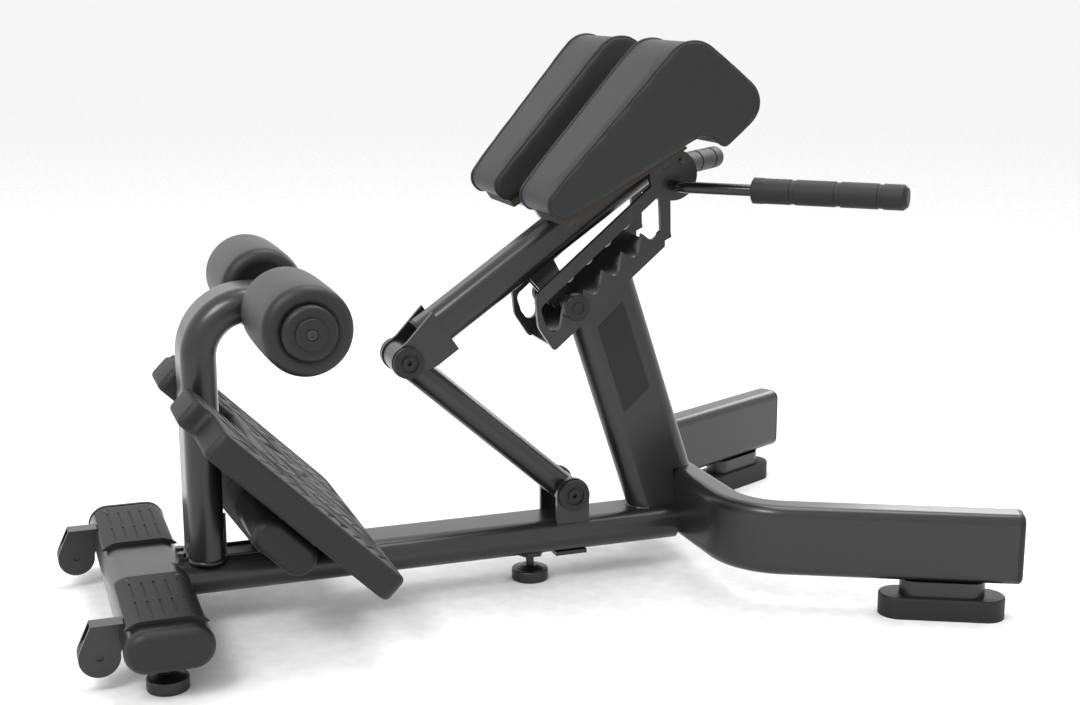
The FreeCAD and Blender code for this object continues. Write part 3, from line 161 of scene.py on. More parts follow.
def make_relief_group() -> bpy.types.NodeTree:
    """Build the group that gives every finish its fine relief.

    Returns:
        A group with one height that mixes cells and noise, and a mask of the hollows, which the tone group
        darkens as painted shade.
    """
    tree = new_group("fine_relief", {
        "Vector": ("NodeSocketVector", (0, 0, 0)), "Scale": ("NodeSocketFloat", 400.0),
        "Cells": ("NodeSocketFloat", 0.5)}, {"Height": "NodeSocketFloat", "Hollow Shade": "NodeSocketFloat"})
    start, stop = ends(tree)
    cells = add_node(tree, "ShaderNodeTexVoronoi", feature="DISTANCE_TO_EDGE")
    noise = add_node(tree, "ShaderNodeTexNoise", Detail=3.0, Roughness=0.55)
    for node in (cells, noise):
        tree.links.new(start.outputs["Vector"], node.inputs["Vector"])
        tree.links.new(start.outputs["Scale"], node.inputs["Scale"])
    creases = math_node(tree, "SMOOTH_MIN", cells.outputs["Distance"], 0.22, 0.1)
    steep = math_node(tree, "MULTIPLY", creases, 4.0)
    cell_height = math_node(tree, "MULTIPLY", steep, start.outputs["Cells"])
    rest = math_node(tree, "SUBTRACT", 1.0, start.outputs["Cells"])
    noise_height = math_node(tree, "MULTIPLY", noise.outputs["Fac"], rest)
    height = math_node(tree, "ADD", cell_height, noise_height)
    hollow_shade = math_node(tree, "SUBTRACT", 1.0, height)
    tree.links.new(height, stop.inputs["Height"])
    tree.links.new(math_node(tree, "MAXIMUM", hollow_shade, 0.0), stop.inputs["Hollow Shade"])
    return tree


def make_tone_group() -> bpy.types.NodeTree:
    """Build the group that varies a colour and a roughness slowly over a surface and paints shade into the
    hollows of the fine relief.

    Returns:
        A group with a colour and a roughness.
    """
    tree = new_group("slow_tone", {
        "Vector": ("NodeSocketVector", (0, 0, 0)), "Colour": ("NodeSocketColor", (0.04, 0.04, 0.04, 1)),
        "Worn Colour": ("NodeSocketColor", (0.06, 0.06, 0.06, 1)), "Hollow Shade": ("NodeSocketFloat", 0.0),
        "Amount": ("NodeSocketFloat", 0.3), "Roughness": ("NodeSocketFloat", 0.5),
        "Spread": ("NodeSocketFloat", 0.06)}, {"Colour": "NodeSocketColor", "Roughness": "NodeSocketFloat"})
    start, stop = ends(tree)
    cloud = add_node(tree, "ShaderNodeTexNoise", Scale=9.0, Detail=4.0, Roughness=0.6)
    specks = add_node(tree, "ShaderNodeTexNoise", Scale=260.0, Detail=2.0)
    for node in (cloud, specks):
        tree.links.new(start.outputs["Vector"], node.inputs["Vector"])
    share = math_node(tree, "MULTIPLY", cloud.outputs["Fac"], specks.outputs["Fac"])
    share = math_node(tree, "MULTIPLY", math_node(tree, "MULTIPLY", share, 2.2), start.outputs["Amount"])
    mix = add_node(tree, "ShaderNodeMix", data_type="RGBA")
    tree.links.new(share, mix.inputs["Factor"])
    tree.links.new(start.outputs["Colour"], mix.inputs[6])
    tree.links.new(start.outputs["Worn Colour"], mix.inputs[7])
    # Painted shade: the hollows of the fine relief are multiplied towards a quarter grey.
    painted_shade = add_node(tree, "ShaderNodeMix", data_type="RGBA", blend_type="MULTIPLY")
    tree.links.new(math_node(tree, "MULTIPLY", start.outputs["Hollow Shade"], 0.35), painted_shade.inputs["Factor"])
    tree.links.new(mix.outputs[2], painted_shade.inputs[6])
    painted_shade.inputs[7].default_value = (0.25, 0.25, 0.25, 1)
    drift = math_node(tree, "SUBTRACT", cloud.outputs["Fac"], 0.5)
    rough = math_node(tree, "MULTIPLY_ADD", drift, start.outputs["Spread"], start.outputs["Roughness"])
    tree.links.new(painted_shade.outputs[2], stop.inputs["Colour"])
    tree.links.new(rough, stop.inputs["Roughness"])
    return tree


# ------------------------------------------------------------------ finishes

@dataclass(frozen=True)
class Finish:
    """One finish with its colour, gloss and relief.

    Attributes:
        name: Name of the material. For a CAD node it is also the slot in the record.
        colour: Linear grey or colour of the surface.
        worn: Colour of the lighter flecks.
        roughness: Mean roughness.
        relief: Kind of fine relief.
        scale: Cells or grains per metre.
        depth: Height of the relief in metres.
        cells: Share of cells against noise in the relief.
        metallic: Metallic value.
        coat: Weight of a clear layer.
        sheen: Weight of a cloth-like sheen.
        gloss: Specular level of the base layer.
    """

    name: str
    colour: tuple[float, float, float]
    worn: tuple[float, float, float]
    roughness: float
    relief: Relief
    scale: float
    depth: float
    cells: float = 0.0
    metallic: float = 0.0
    coat: float = 0.0
    sheen: float = 0.0
    gloss: float = 0.32

    def make(self, relief_group: bpy.types.NodeTree, tone_group: bpy.types.NodeTree) -> bpy.types.Material:
        """Build the material.

        Args:
            relief_group: Group that gives the height.
            tone_group: Group that varies colour and roughness.

        Returns:
            The node-based material.
        """
        material = bpy.data.materials.new(self.name)
        material.use_nodes = True
        tree = material.node_tree
        shader = tree.nodes["Principled BSDF"]
        where = add_node(tree, "ShaderNodeTexCoord")
        stretch = add_node(tree, "ShaderNodeMapping")
        if self.relief is Relief.METAL:
            stretch.inputs["Scale"].default_value = (1.0, 0.08, 1.0)
        tree.links.new(where.outputs["Object"], stretch.inputs["Vector"])
        fine = add_node(tree, "ShaderNodeGroup", node_tree=relief_group)
        fine.inputs["Scale"].default_value = self.scale
        fine.inputs["Cells"].default_value = self.cells
        tone = add_node(tree, "ShaderNodeGroup", node_tree=tone_group)
        tone.inputs["Colour"].default_value = (*self.colour, 1)
        tone.inputs["Worn Colour"].default_value = (*self.worn, 1)
        tone.inputs["Roughness"].default_value = self.roughness
        bump = add_node(tree, "ShaderNodeBump", Distance=self.depth, Strength=1.0)
        for target in (fine, tone):
            tree.links.new(stretch.outputs["Vector"], target.inputs["Vector"])
        # The relief's hollow mask feeds the painted shade of the tone group.
        tree.links.new(fine.outputs["Hollow Shade"], tone.inputs["Hollow Shade"])
        tree.links.new(fine.outputs["Height"], bump.inputs["Height"])
        tree.links.new(tone.outputs["Colour"], shader.inputs["Base Color"])
        tree.links.new(tone.outputs["Roughness"], shader.inputs["Roughness"])
        tree.links.new(bump.outputs["Normal"], shader.inputs["Normal"])
        shader.inputs["Metallic"].default_value = self.metallic
        shader.inputs["Specular IOR Level"].default_value = self.gloss
        shader.inputs["Coat Weight"].default_value = self.coat
        shader.inputs["Coat Roughness"].default_value = 0.22
        shader.inputs["Sheen Weight"].default_value = self.sheen
        shader.inputs["Sheen Roughness"].default_value = 0.5
        return material


PAINT = Finish("painted_frame", (0.0095, 0.0097, 0.0102), (0.017, 0.017, 0.0175), 0.32,
               Relief.COAT, 900, 0.00004, coat=0.35)
PLASTIC = Finish("black_plastic", (0.0085, 0.0085, 0.0088), (0.015, 0.015, 0.015), 0.46,
                 Relief.MOULD, 1600, 0.00005, cells=0.3)
RUBBER = Finish("black_rubber", (0.009, 0.009, 0.0094), (0.018, 0.018, 0.018), 0.55,
                Relief.MOULD, 1200, 0.00008, cells=0.4)
TYRE = Finish("wheel_rubber", (0.008, 0.008, 0.0084), (0.015, 0.015, 0.015), 0.52,
              Relief.MOULD, 1000, 0.00005, cells=0.2)
VINYL = Finish("pad_cover", (0.0098, 0.0098, 0.0102), (0.016, 0.016, 0.016), 0.48,
               Relief.HIDE, 620, 0.0002, cells=0.75, sheen=0.02)
FOAM = Finish("roller_foam", (0.0088, 0.0088, 0.0092), (0.015, 0.015, 0.015), 0.4,
              Relief.HIDE, 850, 0.00012, cells=0.6, sheen=0.02)
PIPING = Finish("pad_piping", (0.011, 0.011, 0.0114), (0.02, 0.02, 0.02), 0.38,
                Relief.HIDE, 900, 0.00008, cells=0.5)
PLYWOOD = Finish("board_wood", (0.03, 0.025, 0.02), (0.05, 0.042, 0.034), 0.7,
                 Relief.MOULD, 300, 0.0001)
STEEL = Finish("bare_steel", (0.05, 0.05, 0.052), (0.09, 0.09, 0.09), 0.4,
               Relief.METAL, 900, 0.00003, metallic=0.9)
BRONZE = Finish("bush_bronze", (0.3, 0.2, 0.1), (0.45, 0.32, 0.17), 0.4,
                Relief.METAL, 900, 0.00002, metallic=1.0)
PANEL = Finish("panel_film", (0.006, 0.006, 0.0063), (0.01, 0.01, 0.01), 0.3,
               Relief.COAT, 1500, 0.00001)
FLOOR = Finish("studio_floor", (0.88, 0.88, 0.88), (0.9, 0.9, 0.9), 0.95,
               Relief.COAT, 40, 0.0, gloss=0.0)
FINISHES = (PAINT, PLASTIC, RUBBER, TYRE, VINYL, FOAM, PIPING, PLYWOOD, STEEL, BRONZE, PANEL, FLOOR)


class Paintbox:
    """All materials of the scene, by name."""

    def __init__(self) -> None:
        """Build every finish once."""
        relief, tone = make_relief_group(), make_tone_group()
        self.materials = {finish.name: finish.make(relief, tone) for finish in FINISHES}

    def dress(self, piece: bpy.types.Object, finish: Finish) -> None:
        """Give a piece one finish all over.

        Args:
            piece: Mesh object.
            finish: Finish to show.
        """
        if not piece.material_slots:
            piece.data.materials.append(self.materials[finish.name])
        for slot in piece.material_slots:
            slot.material = self.materials[finish.name]


# ------------------------------------------------------------------ mesh helpers

def finish_mesh(name: str, bm: bmesh.types.BMesh, smooth_angle: float = 35.0) -> bpy.types.Object:
    """Turn a bmesh into an object in the scene.

    Args:
        name: Name of the object.
        bm: Mesh in place, which is freed.
        smooth_angle: Largest turn in degrees that is shaded smooth.

    Returns:
        The new object at the origin.
    """
    bmesh.ops.recalc_face_normals(bm, faces=bm.faces)
    mesh = bpy.data.meshes.new(name)
    for face in bm.faces:
        face.smooth = True
    limit = math.radians(smooth_angle)
    for edge in bm.edges:
        if len(edge.link_faces) == 2 and edge.calc_face_angle(0.0) > limit:
            edge.smooth = False
    bm.to_mesh(mesh)
    bm.free()
    piece = bpy.data.objects.new(name, mesh)
    bpy.context.scene.collection.objects.link(piece)
    return piece


def copy_node(node: bpy.types.Object) -> bmesh.types.BMesh:
    """Copy of a CAD node's mesh with its loose triangles merged.

    Args:
        node: CAD node.

    Returns:
        A bmesh that the caller frees.
    """
    bm = bmesh.new()
    bm.from_mesh(node.data)
    bmesh.ops.remove_doubles(bm, verts=bm.verts, dist=NODE_MERGE)
    return bm


def apply_modifiers(piece: bpy.types.Object) -> None:
    """Replace a piece's mesh by the result of its modifiers."""
    graph = bpy.context.evaluated_depsgraph_get()
    mesh = bpy.data.meshes.new_from_object(piece.evaluated_get(graph))
    piece.modifiers.clear()
    piece.data = mesh


def lathe(bm: bmesh.types.BMesh, profile: Sequence[tuple[float, float]], place: Matrix,
          steps: int) -> None:
    """Spin a profile about its axis and close it.

    Args:
        bm: Mesh that receives the shape.
        profile: Distance along the axis and radius of each point, in metres.
        place: Matrix whose Y column is the axis.
        steps: Segments of a full turn.
    """
    before = set(bm.verts)
    points = [bm.verts.new((radius, along, 0)) for along, radius in profile]
    edges = [bm.edges.new(pair) for pair in zip(points, points[1:])]
    bmesh.ops.spin(bm, geom=points + edges, cent=(0, 0, 0), axis=(0, 1, 0), angle=math.tau, steps=steps,
                   use_merge=True)
    fresh = [vert for vert in bm.verts if vert not in before]
    bmesh.ops.remove_doubles(bm, verts=fresh, dist=SPIN_MERGE)
    fresh = [vert for vert in bm.verts if vert not in before]
    bmesh.ops.transform(bm, matrix=place, verts=fresh)


def lateral(x: float, y: float, z: float, sign: int) -> Matrix:
    """Place on a lateral axis whose +Y points away from the middle of the machine."""
    turn = Matrix.Identity(4) if sign > 0 else Matrix.Rotation(math.pi, 4, "Z")
    return Matrix.Translation((x, y, z)) @ turn


def tube_through(name: str, points: Iterable[Vector], radius: float, closed: bool = True) -> bpy.types.Object:
    """Round bead that follows points.

    Args:
        name: Name of the piece.
        points: Path in metres.
        radius: Radius of the bead.
        closed: Whether the path is a loop.

    Returns:
        The mesh object.
    """
    curve = bpy.data.curves.new(name, "CURVE")
    curve.dimensions = "3D"
    curve.bevel_depth = radius
    curve.bevel_resolution = 2
    curve.use_fill_caps = not closed
    spline = curve.splines.new("POLY")
    path = list(points)
    spline.points.add(len(path) - 1)
    for point, target in zip(spline.points, path):
        point.co = (*target, 1)
    spline.use_cyclic_u = closed
    holder = bpy.data.objects.new(name + "_path", curve)
    bpy.context.scene.collection.objects.link(holder)
    mesh = bpy.data.meshes.new_from_object(holder.evaluated_get(bpy.context.evaluated_depsgraph_get()))
    bpy.data.objects.remove(holder)
    bm = bmesh.new()
    bm.from_mesh(mesh)
    return finish_mesh(name, bm, 60)


def join(name: str, pieces: Sequence[bpy.types.Object]) -> bpy.types.Object:
    """Merge several objects into one.

    Args:
        name: Name of the joined piece.
        pieces: Objects, which are removed.

    Returns:
        The joined object.
    """
    bm = bmesh.new()
    for piece in pieces:
        bm.from_mesh(piece.data)
        bpy.data.objects.remove(piece)
    return finish_mesh(name, bm, 60)


def bounds_of(node: str) -> tuple[Vector, Vector]:
    """Lowest and highest corner of a CAD node."""
    low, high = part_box(node)
    return Vector(low), Vector(high)


class Builder(Protocol):
    """Anything that adds detailed pieces to the scene."""

    def build(self) -> list[bpy.types.Object]:
        """Build the pieces and return them."""


# ------------------------------------------------------------------ soft goods

@dataclass
class HipPads:
    """Two stuffed hip pads with a sewn bead along each rim.

    Attributes:
        paints: All materials.
        nodes: CAD nodes by name.
        shrink: Inset of the skin before it swells.
        voxel: Size of the even mesh.
        soften_factor: Strength of one smoothing pass.
        soften_passes: Smoothing passes before the cloth run.
        pressure: Inner pressure of the cloth run.
        stiffness: Bending stiffness of the cover.
        cap: Largest swelling kept.
        settle: Passes that even out the swelling.
        frames: Frames of the cloth run.
        bead: Radius of the seam bead.
        bead_inset: Distance of the seam from the side face.
        elbow: Elbow axis that the pad layout is measured from.
        angle: Slope of the pad arm.
        inner: Lateral place of the inner face.
        narrow: Distance along the arm and lateral place of the outer face's narrow end.
        broad: The same for its broad end.
    """

    paints: Paintbox
    nodes: dict[str, bpy.types.Object]
    shrink: float = 3.0 * MM
    voxel: float = 4.5 * MM
    soften_factor: float = 0.5
    soften_passes: int = 5
    pressure: float = 2.5
    stiffness: float = 40.0
    cap: float = 2.6 * MM
    settle: int = 40
    frames: int = 18
    bead: float = 2.6 * MM
    bead_inset: float = 5.0 * MM
    elbow: tuple[float, float, float] = (-0.167, 0.0, 0.364)
    angle: float = math.radians(34.9)
    inner: float = 0.050
    narrow: tuple[float, float] = (0.240, 0.180)
    broad: tuple[float, float] = (0.640, 0.217)

    def build(self) -> list[bpy.types.Object]:
        """Build both pads.

        Returns:
            The pads and their seam beads.
        """
        made = []
        for side, sign in SIDES:
            pad = self.puff(self.nodes["hip_pad_" + side], side)
            beads = [self.seam(pad, side, where, normal) for where, normal in self.seam_planes(sign)]
            seam = join("hip_pad_seam_" + side, beads)
            self.paints.dress(pad, VINYL)
            self.paints.dress(seam, PIPING)
            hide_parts("hip_pad_" + side)
            for piece in (pad, seam):
                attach(piece, "pad_arm")
            made += [pad, seam]
        return made

    def puff(self, node: bpy.types.Object, side: str) -> bpy.types.Object:
        """Swell a remeshed copy of the plain solid with a short cloth simulation.

        Args:
            node: CAD solid.
            side: Which pad.

        Returns:
            The swollen pad.
        """
        pad = finish_mesh("pad_" + side, copy_node(node))
        remesh = pad.modifiers.new("even", "REMESH")
        remesh.mode = "VOXEL"
        remesh.voxel_size = self.voxel
        soften = pad.modifiers.new("soften", "SMOOTH")
        soften.factor = self.soften_factor
        soften.iterations = self.soften_passes
        apply_modifiers(pad)
        normals = [vert.normal.copy() for vert in pad.data.vertices]
        for vert, normal in zip(pad.data.vertices, normals):
            vert.co -= normal * self.shrink
        self.simulate(pad)
        pad.modifiers.new("fine", "SUBSURF").levels = 1
        pad.modifiers["fine"].render_levels = 1
        apply_modifiers(pad)
        for face in pad.data.polygons:
            face.use_smooth = True
        return pad

    def simulate(self, pad: bpy.types.Object) -> None:
        """Run the cloth with inner pressure, then spread its swelling evenly within the cap."""
        rest = [vert.co.copy() for vert in pad.data.vertices]
        normals = [vert.normal.copy() for vert in pad.data.vertices]
        pairs = [tuple(edge.vertices) for edge in pad.data.edges]
        cloth = pad.modifiers.new("stuffing", "CLOTH")
        cloth.settings.use_pressure = True
        cloth.settings.uniform_pressure_force = self.pressure
        cloth.settings.effector_weights.gravity = 0
        cloth.settings.bending_stiffness = self.stiffness
        cloth.point_cache.frame_start = 1
        cloth.point_cache.frame_end = self.frames
        scene = bpy.context.scene
        for step in range(1, self.frames + 1):
            scene.frame_set(step)
        apply_modifiers(pad)
        scene.frame_set(1)
        swell = [(vert.co - origin).dot(normal)
                 for vert, origin, normal in zip(pad.data.vertices, rest, normals)]
        for vert, origin, normal, rise in zip(pad.data.vertices, rest, normals, self.spread(swell, pairs)):
            vert.co = origin + normal * max(-self.cap, min(self.cap, rise))

    def spread(self, swell: list[float], pairs: list[tuple[int, int]]) -> list[float]:
        """Average the swelling with its neighbours so that a taut cover stays free of creases.

        Args:
            swell: Swelling of each corner.
            pairs: Corners that share an edge.

        Returns:
            The evened swelling.
        """
        for _ in range(self.settle):
            total, count = swell[:], [1] * len(swell)
            for a, b in pairs:
                total[a] += swell[b]
                total[b] += swell[a]
                count[a] += 1
                count[b] += 1
            swell = [value / share for value, share in zip(total, count)]
        return swell

    def seam_planes(self, sign: int) -> list[tuple[Vector, Vector]]:
        """Planes of the two seams, each parallel to a side face and just inside its rim.

        Args:
            sign: Side of the machine.

        Returns:
            A point and an outward normal for the inner and the outer seam.
        """
        run = Vector((math.cos(self.angle), 0, math.sin(self.angle)))
        rise = Vector((-math.sin(self.angle), 0, math.cos(self.angle)))
        near, far = (run * along + Vector((0, sign * side, 0)) for along, side in (self.narrow, self.broad))
        outward = (far - near).cross(rise).normalized()
        outward *= 1 if outward.y * sign > 0 else -1
        inner_normal = Vector((0, -sign, 0))
        inner_point = Vector((0, sign * self.inner, 0)) - inner_normal * (self.bead_inset + self.shrink)
        outer_point = Vector(self.elbow) + near - outward * (self.bead_inset + self.shrink)
        return [(inner_point, inner_normal), (outer_point, outward)]

    def seam(self, pad: bpy.types.Object, side: str, where: Vector, normal: Vector) -> bpy.types.Object:
        """Sewn bead where a plane cuts the pad's skin.

        Args:
            pad: Finished pad.
            side: Which pad.
            where: Point of the plane.
            normal: Normal of the plane.

        Returns:
            The bead.
        """
        bm = bmesh.new()
        bm.from_mesh(pad.data)
        every = bm.verts[:] + bm.edges[:] + bm.faces[:]
        cut = bmesh.ops.bisect_plane(bm, geom=every, plane_co=where, plane_no=normal,
                                     clear_inner=True, clear_outer=True)
        ring = [edge for edge in cut["geom_cut"] if isinstance(edge, bmesh.types.BMEdge)]
        path = self.walk(ring)
        bm.free()
        return tube_through("seam_%s_%.0f" % (side, abs(where.y) * 1000), path[::2], self.bead)

    def walk(self, ring: list[bmesh.types.BMEdge]) -> list[Vector]:
        """Corners of a loop of edges in order."""
        edge, vert = ring[0], ring[0].verts[0]
        first, path, left = vert, [], set(ring)
        while left:
            left.discard(edge)
            path.append(vert.co.copy())
            vert = edge.other_vert(vert)
            follow = [other for other in vert.link_edges if other in left]
            if not follow or vert is first:
                break
            edge = follow[0]
        return path


@dataclass
class FoamRollers:
    """Foam ankle rollers with soft shoulders and a pressed ring where the cap bears.

    Attributes:
        paints: All materials.
        shoulder: Radius of the rounded shoulders.
        crown: Rise of the middle over the shoulders.
        press: Depth of the pressed ring.
        rim: Radius of the pressed ring's edge.
        rim_ease: Half the width of that edge.
        slack: Gap between the foam and its sleeve.
        arc_steps: Segments of one shoulder.
        segments: Segments round the roller.
    """

    paints: Paintbox
    shoulder: float = 15.0 * MM
    crown: float = 1.2 * MM
    press: float = 3.0 * MM
    rim: float = 38.5 * MM
    rim_ease: float = 2.0 * MM
    slack: float = 0.2 * MM
    arc_steps: int = 8
    segments: int = 96

    def build(self) -> list[bpy.types.Object]:
        """Build both rollers.

        Returns:
            The rollers.
        """
        made = []
        for side, sign in SIDES:
            low, high = bounds_of("foam_roller_" + side)
            sleeve_low, sleeve_high = bounds_of("roller_sleeve_" + side)
            centre = (low + high) / 2
            radius = (high.x - low.x) / 2
            bore = (sleeve_high.x - sleeve_low.x) / 2 + self.slack
            half = (high.y - low.y) / 2
            bm = bmesh.new()
            place = lateral(centre.x, centre.y, centre.z, sign)
            lathe(bm, self.profile(radius, bore, half), place, self.segments)
            roller = finish_mesh("roller_" + side, bm, 50)
            self.paints.dress(roller, FOAM)
            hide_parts("foam_roller_" + side)
            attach(roller, "roller_" + side)
            made.append(roller)
        return made

    def profile(self, radius: float, bore: float, half: float) -> list[tuple[float, float]]:
        """Half outline of a roller from its inner end to its outer end.

        Args:
            radius: Outer radius.
            bore: Radius of the hole.
            half: Half its length.

        Returns:
            Points along the axis with their radii, as a closed outline.
        """
        s = self.shoulder
        turns = [math.radians(90 * step / self.arc_steps) for step in range(self.arc_steps + 1)]
        arc = [(math.cos(turn), math.sin(turn)) for turn in turns]
        inner = [(-half + s - s * c, radius - self.crown - s + s * r) for c, r in arc]
        outer = [(half - s + s * c, radius - self.crown - s + s * r) for c, r in reversed(arc)]
        mid = [(half * share, radius - self.crown * share * share) for share in (-0.6, -0.3, 0, 0.3, 0.6)]
        low, high = self.rim - self.rim_ease, self.rim + self.rim_ease
        start = [(-half + self.press, bore), (-half + self.press, low), (-half, high)]
        stop = [(half, high), (half - self.press, low), (half - self.press, bore)]
        outline = start + inner + mid + outer + stop
        return outline + [outline[0]]


# ------------------------------------------------------------------ footplate

@dataclass
class Footplate:
    """Moulded tread block with rounded edges, slotted chevrons and long dividing grooves.

    Attributes:
        paints: All materials.
        angle: Slope of the tread.
        top: Station and level of the tread's upper edge.
        length: Size down the slope.
        half: Half the width.
        thick: Thickness.
        tab: Length of the two tabs above the upper edge.
        tab_half: Lateral place of the tabs' outer edges.
        notch_half: Half the width of the notch round the post.
        notch_deep: Depth of the notch below the upper edge.
        edge: Size of the rounding along the faces.
        foot_round: Size of the rounding of the lower corners.
        corner_round: Size of the rounding of the other corners.
        flat: Largest height between the ends of an edge that lies along a face.
        sharp: Least angle, in radians, of such an edge that is rounded.
        slot_deep: Depth of slots and grooves.
        slot_wide: Width of the slots.
        groove_share: Width of a groove over that of a slot.
        pitch: Step between chevrons.
        dividers: Lateral places of the columns' limits.
        gap: Clear strip on both sides of a chevron.
        tip_gap: Half the gap at a chevron's tip.
        rake: Drop of a chevron's tip over its lateral reach.
        slot_margin: Clear strip above the first and below the last chevron.
        groove_margin: Clear strip at the ends of a groove.
        tab_slots: Number of slots on each tab.
        tab_start: Distance down the slope of a tab's first slot, in mm.
        tab_pitch: Step between them, in mm.
        tab_drop: Drop of each slot.
        tab_reach: Lateral ends of each slot.
    """

    paints: Paintbox
    angle: float = math.radians(44.3)
    top: tuple[float, float] = (-0.4654, 0.3435)
    length: float = 0.331
    half: float = 0.250
    thick: float = 0.040
    tab: float = 0.028
    tab_half: float = 0.150
    notch_half: float = 0.058
    notch_deep: float = 0.081
    edge: float = 8.0 * MM
    foot_round: float = 22 * MM
    corner_round: float = 10 * MM
    flat: float = 1e-6
    sharp: float = 0.5
    slot_deep: float = 2.0 * MM
    slot_wide: float = 3.2 * MM
    groove_share: float = 0.8
    pitch: float = 24.0 * MM
    dividers: tuple[float, ...] = (-0.238, -0.122, 0.0, 0.122, 0.238)
    gap: float = 7 * MM
    tip_gap: float = 3 * MM
    rake: float = 0.62
    slot_margin: float = 16 * MM
    groove_margin: float = 14 * MM
    tab_slots: int = 5
    tab_start: int = -24
    tab_pitch: int = 22
    tab_drop: float = 16 * MM
    tab_reach: tuple[float, float] = (68 * MM, 104 * MM)

    def matrix(self) -> Matrix:
        """Plate coordinates (down the slope, lateral, out of the tread) to the frame."""
        return Matrix.Translation((self.top[0], 0, self.top[1])) @ Matrix.Rotation(self.angle, 4, "Y")

    def outline(self) -> list[tuple[float, float]]:
        """Plan of the block, anticlockwise from the lower left corner."""
        half = [(self.length, self.half), (0, self.half), (0, self.tab_half), (-self.tab, self.tab_half),
                (-self.tab, self.notch_half), (self.notch_deep, self.notch_half)]
        return half + [(x, -y) for x, y in reversed(half)]

    def build(self) -> list[bpy.types.Object]:
        """Build the block and cut its tread.

        Returns:
            The block.
        """
        bm = bmesh.new()
        verts = [bm.verts.new((x, y, -self.thick)) for x, y in self.outline()]
        face = bm.faces.new(verts)
        grown = bmesh.ops.extrude_face_region(bm, geom=[face])
        top = [item for item in grown["geom"] if isinstance(item, bmesh.types.BMVert)]
        bmesh.ops.translate(bm, verts=top, vec=(0, 0, self.thick))
        bmesh.ops.recalc_face_normals(bm, faces=bm.faces)
        upright = [edge for edge in bm.edges if self.drop(edge) > self.thick / 2]
        foot = [edge for edge in upright if edge.verts[0].co.x > self.length - MM]
        rest = [edge for edge in upright if edge not in foot]
        self.round_off(bm, foot, self.foot_round, 7)
        self.round_off(bm, [edge for edge in rest if edge.is_valid], self.corner_round, 5)
        rims = [edge for edge in bm.edges if self.drop(edge) < self.flat
                and edge.calc_face_angle(0) > self.sharp]
        self.round_off(bm, rims, self.edge, 4)
        bmesh.ops.transform(bm, matrix=self.matrix(), verts=bm.verts)
        block = finish_mesh("tread_block", bm, 40)
        cutter = self.slots()
        carve = block.modifiers.new("slots", "BOOLEAN")
        carve.object, carve.operation, carve.solver = cutter, "DIFFERENCE", "EXACT"
        apply_modifiers(block)
        bpy.data.objects.remove(cutter)
        self.paints.dress(block, RUBBER)
        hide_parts("footplate_board", "footplate_mat")
        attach(block, "frame")
        return [block]

    def drop(self, edge: bmesh.types.BMEdge) -> float:
        """Height between the two ends of an edge."""
        return abs(edge.verts[0].co.z - edge.verts[1].co.z)

    def round_off(self, bm: bmesh.types.BMesh, edges: list[bmesh.types.BMEdge], size: float,
                  segments: int) -> None:
        """Round the edges with an even bevel."""
        bmesh.ops.bevel(bm, geom=edges, offset=size, segments=segments, profile=0.5,
                        affect="EDGES", material=-1)

    def bar(self, bm: bmesh.types.BMesh, start: tuple[float, float], end: tuple[float, float],
            wide: float) -> None:
        """Add one straight cutter bar between two points of the plan."""
        a, b = Vector((*start, 0)), Vector((*end, 0))
        along = b - a
        turn = Matrix.Rotation(math.atan2(along.y, along.x), 4, "Z")
        size = Matrix.Diagonal((along.length, wide, 2 * self.slot_deep, 1))
        bmesh.ops.create_cube(bm, size=1, matrix=Matrix.Translation((a + b) / 2) @ turn @ size)

    def slots(self) -> bpy.types.Object:
        """Cutter with the chevron slots of each column and the grooves between columns.

        Returns:
            The cutter, in place.
        """
        bm = bmesh.new()
        last = self.length - self.slot_margin
        for column, (low, high) in enumerate(zip(self.dividers, self.dividers[1:])):
            middle, reach = (low + high) / 2, (high - low) / 2 - self.gap
            inner = column in (1, 2)
            x = (self.notch_deep if inner else 0) + self.slot_margin
            while x + reach * self.rake < last:
                for sign in (-1, 1):
                    tip = (x + reach * self.rake, middle + sign * self.tip_gap)
                    self.bar(bm, (x, middle + sign * reach), tip, self.slot_wide)
                x += self.pitch
        for y in self.dividers[1:-1]:
            begin = (self.notch_deep if y == 0 else 0) + self.groove_margin
            end = self.length - self.groove_margin
            self.bar(bm, (begin, y), (end, y), self.slot_wide * self.groove_share)
        near, far = self.tab_reach
        for sign in (-1, 1):
            for step in range(self.tab_slots):
                x = (self.tab_start + self.tab_pitch * step) * MM
                self.bar(bm, (x, sign * near), (x + self.tab_drop, sign * far), self.slot_wide)
        bmesh.ops.transform(bm, matrix=self.matrix(), verts=bm.verts)
        return finish_mesh("tread_cutter", bm)


# ------------------------------------------------------------------ welds and fasteners

